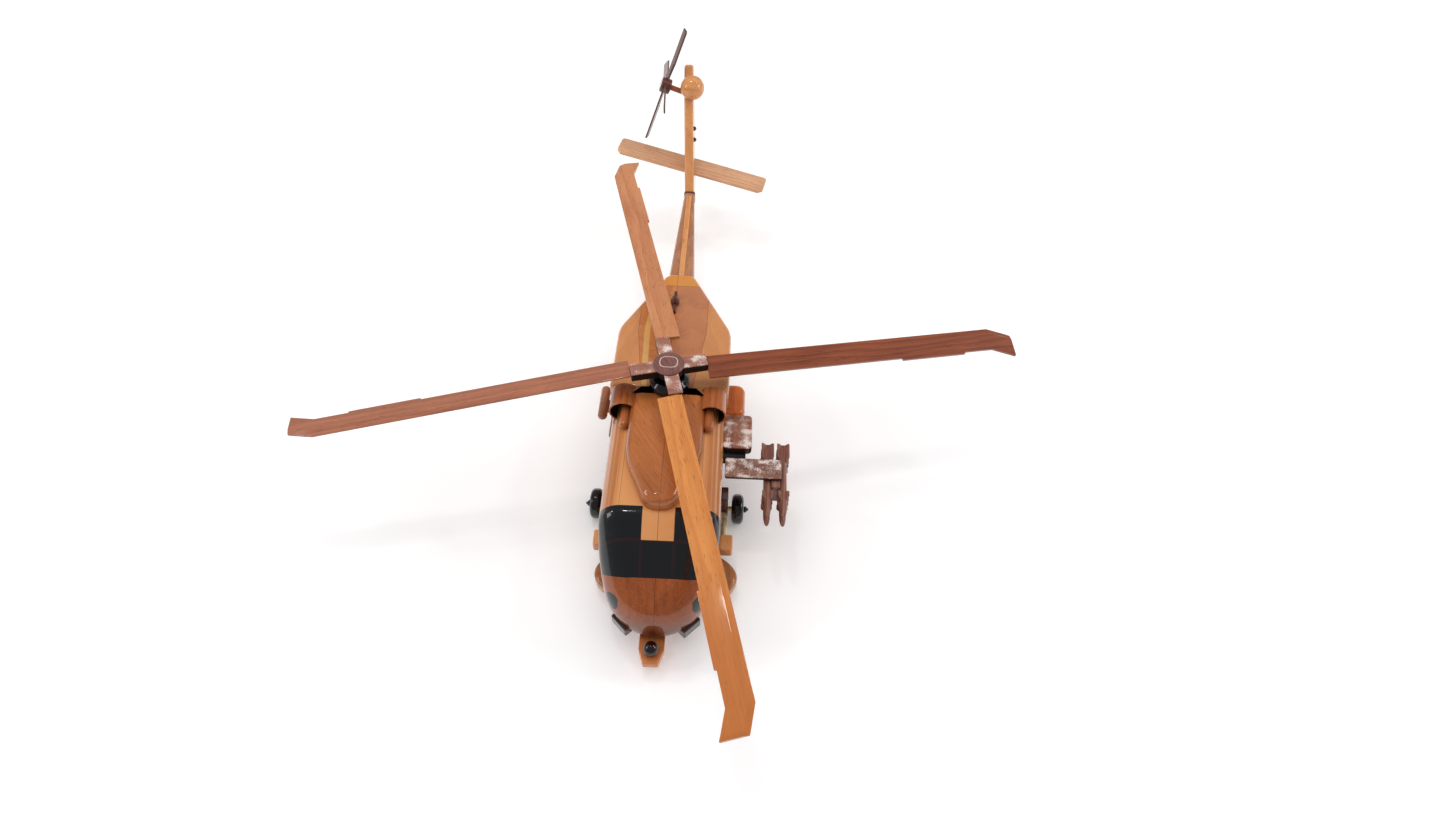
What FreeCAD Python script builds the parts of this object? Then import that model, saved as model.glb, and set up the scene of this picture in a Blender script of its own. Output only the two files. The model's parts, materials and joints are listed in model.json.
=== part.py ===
"""Desk model of a naval utility helicopter in lacquered hardwood, in millimetres.

+X is the port side, +Y points aft and +Z is up.  The origin is on the ground, at the middle of the
model's length and width.  Sizes are written about the rotor mast: z from the ground, y from the mast.
"""
import FreeCAD
import Part

import math
import os
import re

import Sketcher
from FreeCAD import Placement, Rotation, Vector

# ---------------------------------------------------------------- driving dimensions
SIZES = {
    # main rotor
    "rotor_radius": 170.4, "rotor_azimuth": 14.24, "blade_height": 77.5, "blade_chord": 11.3,
    "blade_lead": 2.8, "blade_thickness": 1.8, "blade_bevel": 1.1, "blade_droop": 3.77,
    "tip_length": 11.1, "tip_sweep": 4.6, "tab_start": 112.5, "tab_end": 144.8, "tab_width": 1.0,
    "pitch_port": 19.3, "pitch_aft": 1.9, "pitch_starboard": 12.8, "pitch_front": 7.6,
    "arm_reach": 17.8, "arm_width": 6.6, "arm_depth": 4.6, "arm_rise": 1.6, "boss_radius": 6.4,
    "cap_radius": 7.4, "cap_height": 1.7, "cap_flat": 3.8, "cap_rim": 0.6,
    "mast_radius": 2.4, "collar_radius": 3.6, "collar_height": 1.5, "running_gap": 0.05, "end_gap": 0.3,
    "swash_radius": 9.4, "swash_edge": 2.2, "swash_low": 64.5, "swash_high": 71.5,
    # fuselage
    "body_half_width": 26.6, "belly": 9.0, "roof": 58.4, "body_front": -66.0, "body_back": 45.0,
    "body_corner": 10.0, "boom_start": 84.0, "boom_half_width": 7.5, "boom_low": 33.0, "boom_high": 50.0,
    "boom_corner": 3.2,
    # rotor fairing, rear deck and engines
    "fairing_half_width": 17.2, "fairing_front": -66.5, "fairing_high": 66.0, "fairing_taper": 26.0,
    "fairing_shoulder": 40.0, "fairing_round": 4.5,
    "deck_front": -2.0, "deck_high": 64.5, "deck_half_width": 28.2, "deck_shoulder": 42.0,
    "deck_tip": 87.6, "deck_tip_high": 56.0, "deck_tip_half": 7.0, "deck_round": 2.6,
    "deck_shoulder_round": 22.0, "deck_tip_round": 6.0,
    "engine_offset": 20.4, "engine_height": 60.3, "engine_radius": 6.8, "engine_front": -14.2,
    "inlet_radius": 6.0, "inlet_depth": 8.0,
    "barrel_radius": 2.4, "barrel_front": -23.2, "barrel_back": -9.0, "seat": 0.3,
    # tail
    "boom_end": 172.0, "boom_end_half": 3.0, "boom_end_low": 37.0, "boom_end_high": 44.6,
    "boom_end_corner": 1.4, "spine_half_width": 1.5, "spine_height": 1.3, "spine_inset": 4.0,
    "band_length": 1.8, "band_proud": 0.35,
    "fin_thickness": 5.4, "fin_round": 1.5, "fin_foot": 19.5, "fin_top_front": 209.0, "fin_top_front_z": 88.5,
    "fin_tip": 222.0, "fin_tip_z": 100.5, "fin_back": 228.0, "fin_back_z": 95.0, "fin_lean": 2.9,
    "bulb_radius": 7.1, "bulb_x": -0.5, "bulb_y": 211.6, "bulb_z": 91.0,
    "stabilator_span": 93.0, "stabilator_chord": 14.0, "stabilator_thickness": 2.2,
    "stabilator_y": 196.4, "stabilator_z": 46.9, "stabilator_yaw": 11.7, "stabilator_roll": 7.7,
    "stabilator_corner": 2.6, "stabilator_bevel": 1.2,
    "tail_hub_x": 16.6, "tail_hub_y": 214.6, "tail_hub_z": 90.0, "tail_cant": 20.0, "tail_phase": 9.0,
    "tail_rotor_radius": 35.0, "tail_blade_chord": 4.6, "tail_blade_thickness": 1.0, "tail_blade_pitch": 20.0,
    "tail_blade_cuff": 14.0, "tail_shaft_radius": 1.6, "tail_hub_radius": 4.4, "tail_hub_length": 6.0,
    "light_radius": 1.3, "light_y": 200.8, "light_z": 70.5, "light_step_y": 4.0, "light_step_z": 5.0,
    # landing gear
    "wheel_radius": 7.5, "wheel_width": 5.8, "wheel_round": 2.3, "wheel_dish": 0.5, "wheel_hub_radius": 3.0,
    "wheel_offset": 34.8, "wheel_y": -29.5, "axle_radius": 1.3, "axle_cap_radius": 2.3, "axle_cap_length": 2.2,
    "strut_thickness": 3.4, "strut_length": 7.0, "strut_low": 4.3, "strut_shoulder": 17.0, "strut_high": 27.0,
    "beam_radius": 1.5, "beam_foot": 8.6, "beam_head": 15.0, "beam_tenon": 1.0,
    "block_front": -59.5, "block_back": -51.0, "block_high": 18.0, "block_width": 6.2,
    "block_round": 1.0,
    "tail_wheel_radius": 4.2, "tail_wheel_width": 2.3, "tail_wheel_y": 72.0, "tail_axle_radius": 0.8,
    "fork_width": 3.0, "fork_length": 4.6, "fork_high": 8.4, "tail_strut_radius": 1.8, "tail_strut_high": 34.0,
    # nose
    "radome_half_width": 33.2, "radome_half_length": 16.0, "radome_x": 2.2, "radome_y": -70.0,
    "radome_low": 4.4, "radome_high": 12.0, "radome_round": 1.8,
    "bracket_offset": -1.4, "bracket_front": -114.7, "bracket_back": -88.0, "bracket_half_width": 5.7,
    "bracket_tip_half": 2.9, "bracket_low": 7.8, "bracket_high": 11.5, "bracket_taper": -105.7,
    "turret_radius": 3.4, "turret_y": -109.1,
    "corner_block_length": 10.0, "corner_block_width": 8.0, "corner_block_low": 14.5,
    "corner_block_high": 20.0, "corner_block_x": 16.4, "corner_block_y": -100.2, "corner_block_yaw": 46.0,
    # stores and side equipment
    "pylon_root": 1.1, "pylon_end": 53.8, "pylon_front": -38.0, "pylon_back": -27.0, "pylon_high": 46.4,
    "pylon_thickness": 2.2,
    "missile_offset": 47.6, "missile_spacing": 7.3, "missile_drop": 0.5, "missile_pitch": 7.2,
    "missile_radius": 1.6, "missile_length": 40.4, "missile_tail": -16.3, "missile_nose": 6.5,
    "tail_fin_span": 3.9, "tail_fin_length": 11.0, "tail_fin_rake": 3.0, "tail_fin_thickness": 0.9,
    "canard_span": 3.4, "canard_length": 5.6, "canard_station": 8.0,
    "rack_front": -41.5, "rack_back": -26.0, "rack_low": 33.0,
    "box_width": 13.2, "box_front": -24.0, "box_back": -4.0, "box_low": 45.0, "box_high": 50.0,
    "box_round": 2.0, "foot_width": 10.5, "foot_low": 41.0, "foot_high": 47.0,
    "cowl_width": 9.6, "cowl_back": 16.0, "cowl_low": 31.0, "cowl_high": 50.5, "cowl_round": 4.4,
    "hoist_radius": 2.3, "hoist_offset": 31.6, "hoist_z": 49.5, "hoist_front": -9.6, "hoist_back": 10.4,
    "hoist_arm_length": 6.0, "hoist_arm_height": 3.0,
    "pod_radius": 1.8, "pod_z": 33.0, "pod_front": -8.0, "pod_back": 9.0,
    "rail_radius": 0.8, "rail_z": 39.0, "rail_front": -13.5, "rail_back": 6.0,
    # deck fittings
    "fitting_x": -1.3, "beacon_y": 61.0, "beacon_radius": 2.3, "beacon_foot_radius": 1.4,
    "beacon_foot_height": 1.6, "antenna_width": 1.5, "antenna_length": 4.6, "antenna_height": 2.2,
    "antenna_gap": 0.8, "plug_y": 49.0, "plug_radius": 2.0, "plug_height": 0.4, "ball_y": 36.5,
    "ball_radius": 3.1, "fitting_sink": 1.0,
}

# Nose stations, front to back: distance ahead of body_front, half width, low, high, corner radius.
NOSE = {
    "nose_tip": (38.3, 5.0, 17.5, 26.5, 4.4),
    "nose_a": (36.9, 10.4, 14.6, 31.5, 8.0),
    "nose_b": (33.0, 16.6, 12.4, 36.4, 11.4),
    "nose_c": (26.5, 21.4, 10.7, 40.9, 13.2),
    "nose_d": (18.5, 24.4, 9.7, 46.4, 13.4),
    "nose_e": (9.0, 26.1, 9.1, 54.0, 12.4),
}
for station, values in NOSE.items():
    for part_name, number in zip(("ahead", "half", "low", "high", "corner"), values):
        SIZES[f"{station}_{part_name}"] = number

doc = FreeCAD.newDocument("helicopter_model")
sheet = doc.addObject("Spreadsheet::Sheet", "sizes")
for row, (alias, number) in enumerate(SIZES.items(), start=1):
    sheet.set(f"A{row}", alias)
    sheet.set(f"B{row}", repr(number))
    sheet.setAlias(f"B{row}", alias)

# Worked-out cells that several pieces share.
DERIVED = {
    # the swept blade tip and the tail rotor disc set the model's two ends
    "front_reach": "rotor_radius * cos(rotor_azimuth) + (blade_chord - blade_lead + tip_sweep)"
                   " * sin(rotor_azimuth)",
    "back_reach": "tail_hub_y + tail_rotor_radius * cos(tail_phase) + tail_blade_chord / 2"
                  " * sin(tail_phase)",
    "mast_y": "(front_reach - back_reach) / 2",
    "hub_high": "blade_height + arm_rise",
    "hub_low": "blade_height + arm_rise - arm_depth",
    "boom_slope": "(boom_high - boom_end_high) / (boom_end - boom_start)",
    "band_end": "boom_end + band_length",
    "fairing_nose_half": "fairing_half_width * 0.36",
    "fairing_nose_round": "fairing_half_width * 0.48",
    "wheel_inner": "wheel_offset - wheel_width / 2",
    "wheel_outer": "wheel_offset + wheel_width / 2",
    "axle_end": "wheel_outer + end_gap",
    "pylon_low": "pylon_high - pylon_thickness",
    "missile_z": "pylon_high - pylon_thickness - missile_drop - missile_radius",
    "deck_slope": "(deck_high - deck_tip_high) / (deck_tip - deck_front)",
    "tail_reach": "(tail_hub_x - fin_thickness / 2) / cos(tail_cant)",
    "blade_reach": "(rotor_radius - arm_reach) / cos(blade_droop)",
    "barrel_offset": "fairing_half_width + barrel_radius - seat",
}
KNOWN = set(SIZES) | set(DERIVED)


def cells(text, prefix="sizes."):
    """An expression on plain size names, as FreeCAD reads it from outside the sheet."""
    return re.sub(r"[a-z_]\w*", lambda word: prefix + word[0] if word[0] in KNOWN else word[0], str(text))


for row, (alias, formula) in enumerate(DERIVED.items(), start=len(SIZES) + 1):
    sheet.set(f"A{row}", alias)
    sheet.set(f"B{row}", "=" + formula)
    sheet.setAlias(f"B{row}", alias)
doc.recompute()


def size(text):
    """The number that an expression on size names gives now."""
    return float(sheet.evalExpression(cells(text, "")))


# ---------------------------------------------------------------- how pieces are made
def bind(item, path, text):
    item.setExpression(path, cells(text))


def place(item, x="0", y="0", z="0", yaw="0", pitch="0", roll="0"):
    """Put a piece at (x, y, z) about the mast, turned by yaw, pitch and roll in degrees."""
    bind(item, "Placement", f"placement(vector({x}; mast_y + ({y}); {z}); rotation({yaw}; {pitch}; {roll}))")
    return item


def piece(name):
    """A PartDesign body for one node, standing in the model's frame."""
    body = doc.addObject("PartDesign::Body", name)
    body.Label = name
    return place(body)


def sketch(body, plane, name, offset="0"):
    """A sketch on one of the body's own planes, moved along the plane's normal."""
    drawing = body.newObject("Sketcher::SketchObject", f"{body.Name}_{name}")
    role = {"XY": "XY_Plane", "XZ": "XZ_Plane", "YZ": "YZ_Plane"}[plane]
    drawing.AttachmentSupport = [(next(f for f in body.Origin.OriginFeatures if f.Role == role), "")]
    drawing.MapMode = "FlatFace"
    bind(drawing, ".AttachmentOffset.Base.z", offset)
    return drawing


def pin(drawing, index, end, x, y):
    """Dimension one point of a sketch from the origin."""
    for kind, axis, text in (("DistanceX", -2, x), ("DistanceY", -1, y)):
        value = size(text)
        if str(text) == "0":
            drawing.addConstraint(Sketcher.Constraint("PointOnObject", index, end, axis))
        else:
            number = drawing.addConstraint(Sketcher.Constraint(kind, -1, 1, index, end, value))
            bind(drawing, f"Constraints[{number}]", text)


def outline(drawing, points):
    """A closed outline of straight lines through dimensioned points."""
    corners = [Vector(size(x), size(y), 0) for x, y in points]
    count = len(corners)
    for index, corner in enumerate(corners):
        drawing.addGeometry(Part.LineSegment(corner, corners[(index + 1) % count]))
    for index in range(count):
        drawing.addConstraint(Sketcher.Constraint("Coincident", index, 2, (index + 1) % count, 1))
        pin(drawing, index, 1, *points[index])
    return drawing


def ring(drawing, x, y, radius):
    """A dimensioned circle."""
    index = drawing.addGeometry(Part.Circle(Vector(size(x), size(y), 0), Vector(0, 0, 1), size(radius)))
    pin(drawing, index, 3, x, y)
    number = drawing.addConstraint(Sketcher.Constraint("Radius", index, size(radius)))
    bind(drawing, f"Constraints[{number}]", radius)
    return drawing


def rounded(drawing, half, low, high, corner):
    """A rounded rectangle that is symmetric about the sketch's upright axis."""
    half_now, low_now, high_now, corner_now = (size(text) for text in (half, low, high, corner))
    quarter = math.pi / 2
    centres = [(1, 1), (-1, 1), (-1, -1), (1, -1)]
    for turn, (side, up) in enumerate(centres):
        centre = Vector(side * (half_now - corner_now),
                        high_now - corner_now if up > 0 else low_now + corner_now, 0)
        circle = Part.Circle(centre, Vector(0, 0, 1), corner_now)
        drawing.addGeometry(Part.ArcOfCircle(circle, turn * quarter, (turn + 1) * quarter))
    for turn in range(4):
        start = drawing.getPoint(turn, 2)
        stop = drawing.getPoint((turn + 1) % 4, 1)
        drawing.addGeometry(Part.LineSegment(start, stop))
        drawing.addConstraint(Sketcher.Constraint("Tangent", turn, 2, 4 + turn, 1))
        drawing.addConstraint(Sketcher.Constraint("Tangent", 4 + turn, 2, (turn + 1) % 4, 1))
    for turn, (side, up) in enumerate(centres):
        across = f"({half} - {corner})" if side > 0 else f"-({half} - {corner})"
        upright = f"{high} - {corner}" if up > 0 else f"{low} + {corner}"
        if turn in (0, 2):
            pin(drawing, turn, 3, across, upright)
    number = drawing.addConstraint(Sketcher.Constraint("Radius", 0, corner_now))
    bind(drawing, f"Constraints[{number}]", corner)
    for turn in (1, 2, 3):
        drawing.addConstraint(Sketcher.Constraint("Equal", 0, turn))
    return drawing


def pad(body, drawing, length, symmetric=False, backward=False):
    feature = body.newObject("PartDesign::Pad", f"{drawing.Name}_pad")
    feature.Profile = drawing
    bind(feature, "Length", length)
    feature.SideType = "Symmetric" if symmetric else "One side"
    feature.Reversed = backward
    drawing.Visibility = False
    return feature


def pocket(body, drawing, length, symmetric=False, backward=False):
    """A pocket that is checked to remove material."""
    doc.recompute()
    before = body.Shape.Volume
    feature = body.newObject("PartDesign::Pocket", f"{drawing.Name}_pocket")
    feature.Profile = drawing
    bind(feature, "Length", length)
    feature.SideType = "Symmetric" if symmetric else "One side"
    feature.Reversed = backward
    doc.recompute()
    if not body.Shape.Volume < before - 1e-6:
        raise RuntimeError(f"{feature.Name} removes nothing")
    return feature


def turned(name, points, plane="XZ", axis="V_Axis"):
    """A lathe-turned piece: a closed profile carried round a sketch axis."""
    body = piece(name)
    drawing = outline(sketch(body, plane, "profile"), points)
    feature = body.newObject("PartDesign::Revolution", f"{name}_turning")
    feature.Profile = drawing
    feature.ReferenceAxis = (drawing, [axis])
    feature.Angle = 360
    return body


def dress(body, kind, amount, wanted):
    """Fillet or Chamfer the edges of the body that the test picks."""
    doc.recompute()
    base = body.Tip
    names = [f"Edge{i}" for i, edge in enumerate(base.Shape.Edges, start=1) if wanted(edge)]
    feature = body.newObject(f"PartDesign::{kind}", f"{body.Name}_{kind.lower()}")
    feature.Base = (base, names)
    bind(feature, "Radius" if kind == "Fillet" else "Size", amount)
    return feature


def pattern(body, feature, count="4", axis="N_Axis"):
    """The feature repeated evenly round its own sketch's axis."""
    repeat = body.newObject("PartDesign::PolarPattern", f"{feature.Name}_round")
    repeat.Originals = [feature]
    repeat.Axis = (feature.Profile[0], [axis])
    repeat.Angle = 360
    repeat.Occurrences = int(count)
    body.Tip = repeat
    return repeat


def cut(name, base, *tools):
    """Take neighbouring pieces away from a blank, so that the piece seats on them."""
    result = base
    for number, tool in enumerate(tools, start=1):
        last = number == len(tools)
        step = doc.addObject("Part::Cut", name if last else f"{name}_step_{number}")
        step.Base = result
        step.Tool = tool
        result = step
    result.Label = name
    return result


def mirrored(name, source):
    """The same piece on the other side of the centre plane."""
    other = doc.addObject("Part::Mirroring", name)
    other.Label = name
    other.Source = source
    other.Normal = Vector(1, 0, 0)
    return other


def both_sides(name, source):
    """A port piece and its starboard twin, as two solids of one node."""
    pair = doc.addObject("Part::Compound", name)
    pair.Label = name
    pair.Links = [source, mirrored(f"{name}_twin", source)]
    return pair


def rod(name, radius, length):
    """A plain cylinder along its own Z."""
    bar = doc.addObject("Part::Cylinder", name)
    bar.Label = name
    bind(bar, "Radius", radius)
    bind(bar, "Height", length)
    return bar


def box(name, x0, x1, y0, y1, z0, z1):
    """A rectangular block between two corners about the mast."""
    block = doc.addObject("Part::Box", name)
    block.Label = name
    for path, low, high in (("Length", x0, x1), ("Width", y0, y1), ("Height", z0, z1)):
        bind(block, path, f"({high}) - ({low})")
    return place(block, x0, y0, z0)


def along(edge, axis):
    """Whether an edge is straight and runs along X, Y or Z (0, 1 or 2)."""
    start, stop = edge.Vertexes[0].Point, edge.Vertexes[-1].Point
    run = stop - start
    return len(edge.Vertexes) == 2 and abs(abs(run[axis]) - edge.Length) < 1e-6


def level(edge, height):
    """Whether an edge lies at one height."""
    return abs(edge.BoundBox.ZMin - height) < 1e-4 and abs(edge.BoundBox.ZMax - height) < 1e-4


nodes = []


def keep(*items):
    """Add finished pieces to the list of nodes."""
    nodes.extend(items)
    return items[0]


# ---------------------------------------------------------------- fuselage
def make_fuselage():
    """Two book-matched halves: a lofted nose, a straight cabin and a loft down to the boom."""
    whole = piece("fuselage_blank")
    cabin = rounded(sketch(whole, "XZ", "cabin", "-body_front"), "body_half_width", "belly", "roof",
                    "body_corner")
    pad(whole, cabin, "body_back - body_front", backward=True)
    nose = whole.newObject("PartDesign::AdditiveLoft", "fuselage_nose")
    sections = []
    for station in reversed(NOSE):
        drawing = sketch(whole, "XZ", station, f"{station}_ahead - body_front")
        sections.append(rounded(drawing, f"{station}_half", f"{station}_low", f"{station}_high",
                                f"{station}_corner"))
    nose.Profile = cabin
    nose.Sections = sections
    tail = whole.newObject("PartDesign::AdditiveLoft", "fuselage_tail")
    tail.Profile = rounded(sketch(whole, "XZ", "cabin_back", "-body_back"), "body_half_width", "belly",
                           "roof", "body_corner")
    tail.Sections = [rounded(sketch(whole, "XZ", "boom_joint", "-boom_start"), "boom_half_width",
                             "boom_low", "boom_high", "boom_corner")]
    dress(whole, "Fillet", "nose_tip_corner / 3",
          lambda edge: edge.BoundBox.YMax < size("body_front - nose_a_ahead"))
    half = box("port_half", "0", "body_half_width + 1", "body_front - nose_tip_ahead - 1", "boom_start + 1",
               "belly - 1", "roof + 1")
    port = doc.addObject("Part::Common", "fuselage_port")
    port.Label = "fuselage_port"
    port.Base = whole
    port.Tool = half
    keep(port, mirrored("fuselage_starboard", port))
    return whole


def make_fairing(fuselage, swashplate, mast):
    """The fairing ahead of the mast, tapering to a round nose and carved to sit on the roof."""
    blank = piece("rotor_fairing_blank")
    half, tip, front, shoulder = ("fairing_half_width", "fairing_nose_half", "fairing_front",
                                  "fairing_front + fairing_taper")
    plan = outline(sketch(blank, "XY", "plan", "roof - body_corner"),
                   [(f"-{tip}", front), (tip, front), (half, shoulder), (half, "deck_front"),
                    (f"-{half}", "deck_front"), (f"-{half}", shoulder)])
    pad(blank, plan, "fairing_high - roof + body_corner")
    for radius, place_y in (("fairing_shoulder", size(shoulder)), ("fairing_nose_round", size(front))):
        dress(blank, "Fillet", radius,
              lambda edge: along(edge, 2) and abs(edge.BoundBox.YMax - place_y) < 0.1)
    dress(blank, "Fillet", "fairing_round",
          lambda edge: level(edge, size("fairing_high")) and edge.BoundBox.YMin < size("deck_front") - 0.1)
    return keep(cut("rotor_fairing", blank, fuselage, swashplate, mast))


def make_deck(fuselage, swashplate, mast):
    """The boat-tailed deck behind the mast, sloping down to the boom."""
    blank = piece("rear_deck_blank")
    half, tip_half = "deck_half_width", "deck_tip_half"
    plan = outline(sketch(blank, "XY", "plan", "boom_high"),
                   [(f"-{half}", "deck_front"), (half, "deck_front"), (half, "deck_shoulder"),
                    (tip_half, "deck_tip"), (f"-{tip_half}", "deck_tip"), (f"-{half}", "deck_shoulder")])
    pad(blank, plan, "deck_high - boom_high")
    slope = outline(sketch(blank, "YZ", "slope"),
                    [("deck_front", "deck_high"), ("deck_tip + 1", "deck_tip_high - deck_slope"),
                     ("deck_tip + 1", "deck_high + 1"), ("deck_front", "deck_high + 1")])
    pocket(blank, slope, "deck_half_width * 3", symmetric=True)
    shoulder = size("deck_shoulder")
    dress(blank, "Fillet", "deck_shoulder_round",
          lambda edge: along(edge, 2) and abs(edge.BoundBox.YMax - shoulder) < 0.1)
    dress(blank, "Fillet", "deck_tip_round",
          lambda edge: along(edge, 2) and abs(edge.BoundBox.YMax - size("deck_tip")) < 0.1)
    dress(blank, "Fillet", "deck_round",
          lambda edge: edge.BoundBox.ZMin > size("deck_tip_high") - 0.5 and not along(edge, 2)
          and edge.BoundBox.YMax > size("deck_front") + 0.1)
    return keep(cut("rear_deck", blank, fuselage, swashplate, mast))


def make_engines(fuselage, fairing):
    """Two bored engine cowlings beside the fairing, each with a small barrel at its inlet."""
    barrel_blank = capsule("inlet_barrel_blank", "barrel_radius", "barrel_offset", "engine_height",
                           "barrel_front", "barrel_back")
    barrel = cut("inlet_barrel_cut", barrel_blank, fuselage, fairing)
    blank = piece("engine_cowling_blank")
    face = ring(sketch(blank, "XZ", "face", "-engine_front"), "engine_offset", "engine_height",
                "engine_radius")
    pad(blank, face, "deck_front - engine_front", backward=True)
    bore = ring(sketch(blank, "XZ", "bore", "-engine_front"), "engine_offset", "engine_height",
                "inlet_radius")
    pocket(blank, bore, "inlet_depth")
    dress(blank, "Fillet", "(engine_radius - inlet_radius) / 3",
          lambda edge: edge.BoundBox.YMax < size("engine_front") + 0.01)
    port = cut("engine_cowling_port", blank, fuselage, fairing)
    keep(port, mirrored("engine_cowling_starboard", port), both_sides("inlet_barrels", barrel))


def capsule(name, radius, x, z, front, back):
    """A cylinder along Y with round ends."""
    core = place(rod(f"{name}_core", radius, f"({back}) - ({front}) - 2 * {radius}"),
                 x, f"({front}) + {radius}", z, roll="-90")
    ends = []
    for tag, y in (("front", f"({front}) + {radius}"), ("back", f"({back}) - {radius}")):
        ball = doc.addObject("Part::Sphere", f"{name}_{tag}")
        bind(ball, "Radius", radius)
        ends.append(place(ball, x, y, z))
    return fused(name, core, *ends)


def fused(name, *parts):
    """Several solids joined into one turned or carved piece."""
    whole = doc.addObject("Part::MultiFuse", name)
    whole.Label = name
    whole.Shapes = list(parts)
    return whole


def ball_at(name, radius, x, y, z):
    """A turned ball."""
    ball = doc.addObject("Part::Sphere", name)
    ball.Label = name
    bind(ball, "Radius", radius)
    return place(ball, x, y, z)


# ---------------------------------------------------------------- main rotor
def make_mast():
    """The fixed mast with its thrust collar, and the black turned swashplate round it."""
    mast = turned("mast", [("0", "roof"), ("mast_radius", "roof"),
                           ("mast_radius", "hub_low - running_gap - collar_height"),
                           ("collar_radius", "hub_low - running_gap - collar_height"),
                           ("collar_radius", "hub_low - running_gap"), ("mast_radius", "hub_low - running_gap"),
                           ("mast_radius", "hub_high - running_gap"), ("0", "hub_high - running_gap")])
    swash = turned("swashplate", [("mast_radius", "swash_low"), ("swash_radius - swash_edge / 2", "swash_low"),
                                  ("swash_radius", "swash_low + swash_edge"),
                                  ("swash_radius", "swash_high - swash_edge"),
                                  ("swash_radius - swash_edge", "swash_high"), ("mast_radius", "swash_high")])
    keep(mast, swash)
    return mast, swash


def make_hub():
    """The four-armed hub that turns on the mast, and its cap."""
    hub = piece("rotor_hub")
    boss = sketch(hub, "XY", "boss", "hub_low")
    ring(boss, "0", "0", "boss_radius")
    ring(boss, "0", "0", "mast_radius + running_gap")
    pad(hub, boss, "arm_depth")
    arm = outline(sketch(hub, "XZ", "arm"),
                  [("collar_radius", "hub_low"), ("arm_reach - arm_depth * tan(blade_droop)", "hub_low"),
                   ("arm_reach", "hub_high"), ("collar_radius", "hub_high")])
    pattern(hub, pad(hub, arm, "arm_width", symmetric=True), axis="V_Axis")
    place(hub, yaw="rotor_azimuth")
    cap = turned("hub_cap", [("0", "hub_high"), ("cap_radius - cap_rim / 2", "hub_high"),
                             ("cap_radius", "hub_high + cap_rim"),
                             ("(cap_radius + cap_flat) / 2", "hub_high + cap_height * 0.8"),
                             ("cap_flat", "hub_high + cap_height"), ("0", "hub_high + cap_height")])
    keep(hub, cap)


def make_main_blade(name, quarter, pitch):
    """One blade with a bevelled leading edge, a swept tip and a proud trailing-edge tab."""
    blade = piece(name)
    trail, kink = "blade_lead - blade_chord", "blade_reach - tip_length"
    plan = outline(sketch(blade, "XY", "plan"),
                   [("0", "blade_lead"), (kink, "blade_lead"), ("blade_reach", "blade_lead - tip_sweep"),
                    ("blade_reach", f"{trail} - tip_sweep"), (kink, trail),
                    ("tab_end - arm_reach", trail), ("tab_end - arm_reach", f"{trail} - tab_width"),
                    ("tab_start - arm_reach", f"{trail} - tab_width"), ("tab_start - arm_reach", trail),
                    ("0", trail)])
    pad(blade, plan, "blade_thickness", symmetric=True)
    lead, reach = size("blade_lead"), size("blade_reach")
    sweep = size("tip_sweep")
    dress(blade, "Chamfer", "blade_bevel",
          lambda edge: level(edge, size("blade_thickness") / 2) and edge.BoundBox.YMin > lead - sweep - 0.1
          and edge.BoundBox.XLength > 1 and edge.BoundBox.XMax < reach + 0.1)
    azimuth = f"(rotor_azimuth + {quarter * 90})"
    return place(blade, f"arm_reach * cos({azimuth})", f"arm_reach * sin({azimuth})", "blade_height",
                 yaw=azimuth, pitch="blade_droop", roll=pitch)


# ---------------------------------------------------------------- tail
def make_boom():
    """The tapered boom, the ridge along its top and the band at its knee."""
    boom = piece("tail_boom")
    loft = boom.newObject("PartDesign::AdditiveLoft", "boom_loft")
    loft.Profile = rounded(sketch(boom, "XZ", "root", "-boom_start"), "boom_half_width", "boom_low",
                           "boom_high", "boom_corner")
    loft.Sections = [rounded(sketch(boom, "XZ", "end", "-boom_end"), "boom_end_half", "boom_end_low",
                             "boom_end_high", "boom_end_corner")]
    spine = piece("boom_spine")
    top = "boom_high - boom_slope * (deck_tip - boom_start)"
    end = "boom_end_high + boom_slope * spine_inset"
    side = outline(sketch(spine, "YZ", "side"),
                   [("deck_tip", top), ("boom_end - spine_inset", end),
                    ("boom_end - spine_inset - spine_height", f"{end} + spine_height"),
                    ("deck_tip", f"{top} + spine_height")])
    pad(spine, side, "spine_half_width * 2", symmetric=True)
    band = piece("boom_band")
    section = rounded(sketch(band, "XZ", "section", "-boom_end"), "boom_end_half + band_proud",
                      "boom_end_low - band_proud", "boom_end_high + band_proud", "boom_end_corner")
    pad(band, section, "band_length", backward=True)
    keep(boom, spine, band)
    return boom


def make_stabilator():
    """The one-piece stabilator, glued on a little askew."""
    plank = piece("stabilator")
    half, chord, corner = "stabilator_span / 2", "stabilator_chord / 2", "stabilator_corner"
    plan = outline(sketch(plank, "XY", "plan"),
                   [(f"-{half}", f"-{chord} + {corner}"), (f"-({half} - {corner})", f"-{chord}"),
                    (f"{half} - {corner}", f"-{chord}"), (half, f"-{chord} + {corner}"),
                    (half, f"{chord} - {corner} / 2"), (f"{half} - {corner} / 2", chord),
                    (f"-({half} - {corner} / 2)", chord), (f"-{half}", f"{chord} - {corner} / 2")])
    pad(plank, plan, "stabilator_thickness", symmetric=True)
    front = size(f"-{chord}")
    dress(plank, "Chamfer", "stabilator_bevel",
          lambda edge: along(edge, 0) and level(edge, size("stabilator_thickness") / 2)
          and edge.BoundBox.YMax < front + 0.01)
    place(plank, "0", "stabilator_y", "stabilator_z", yaw="-stabilator_yaw", pitch="stabilator_roll")
    return keep(plank)


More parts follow.
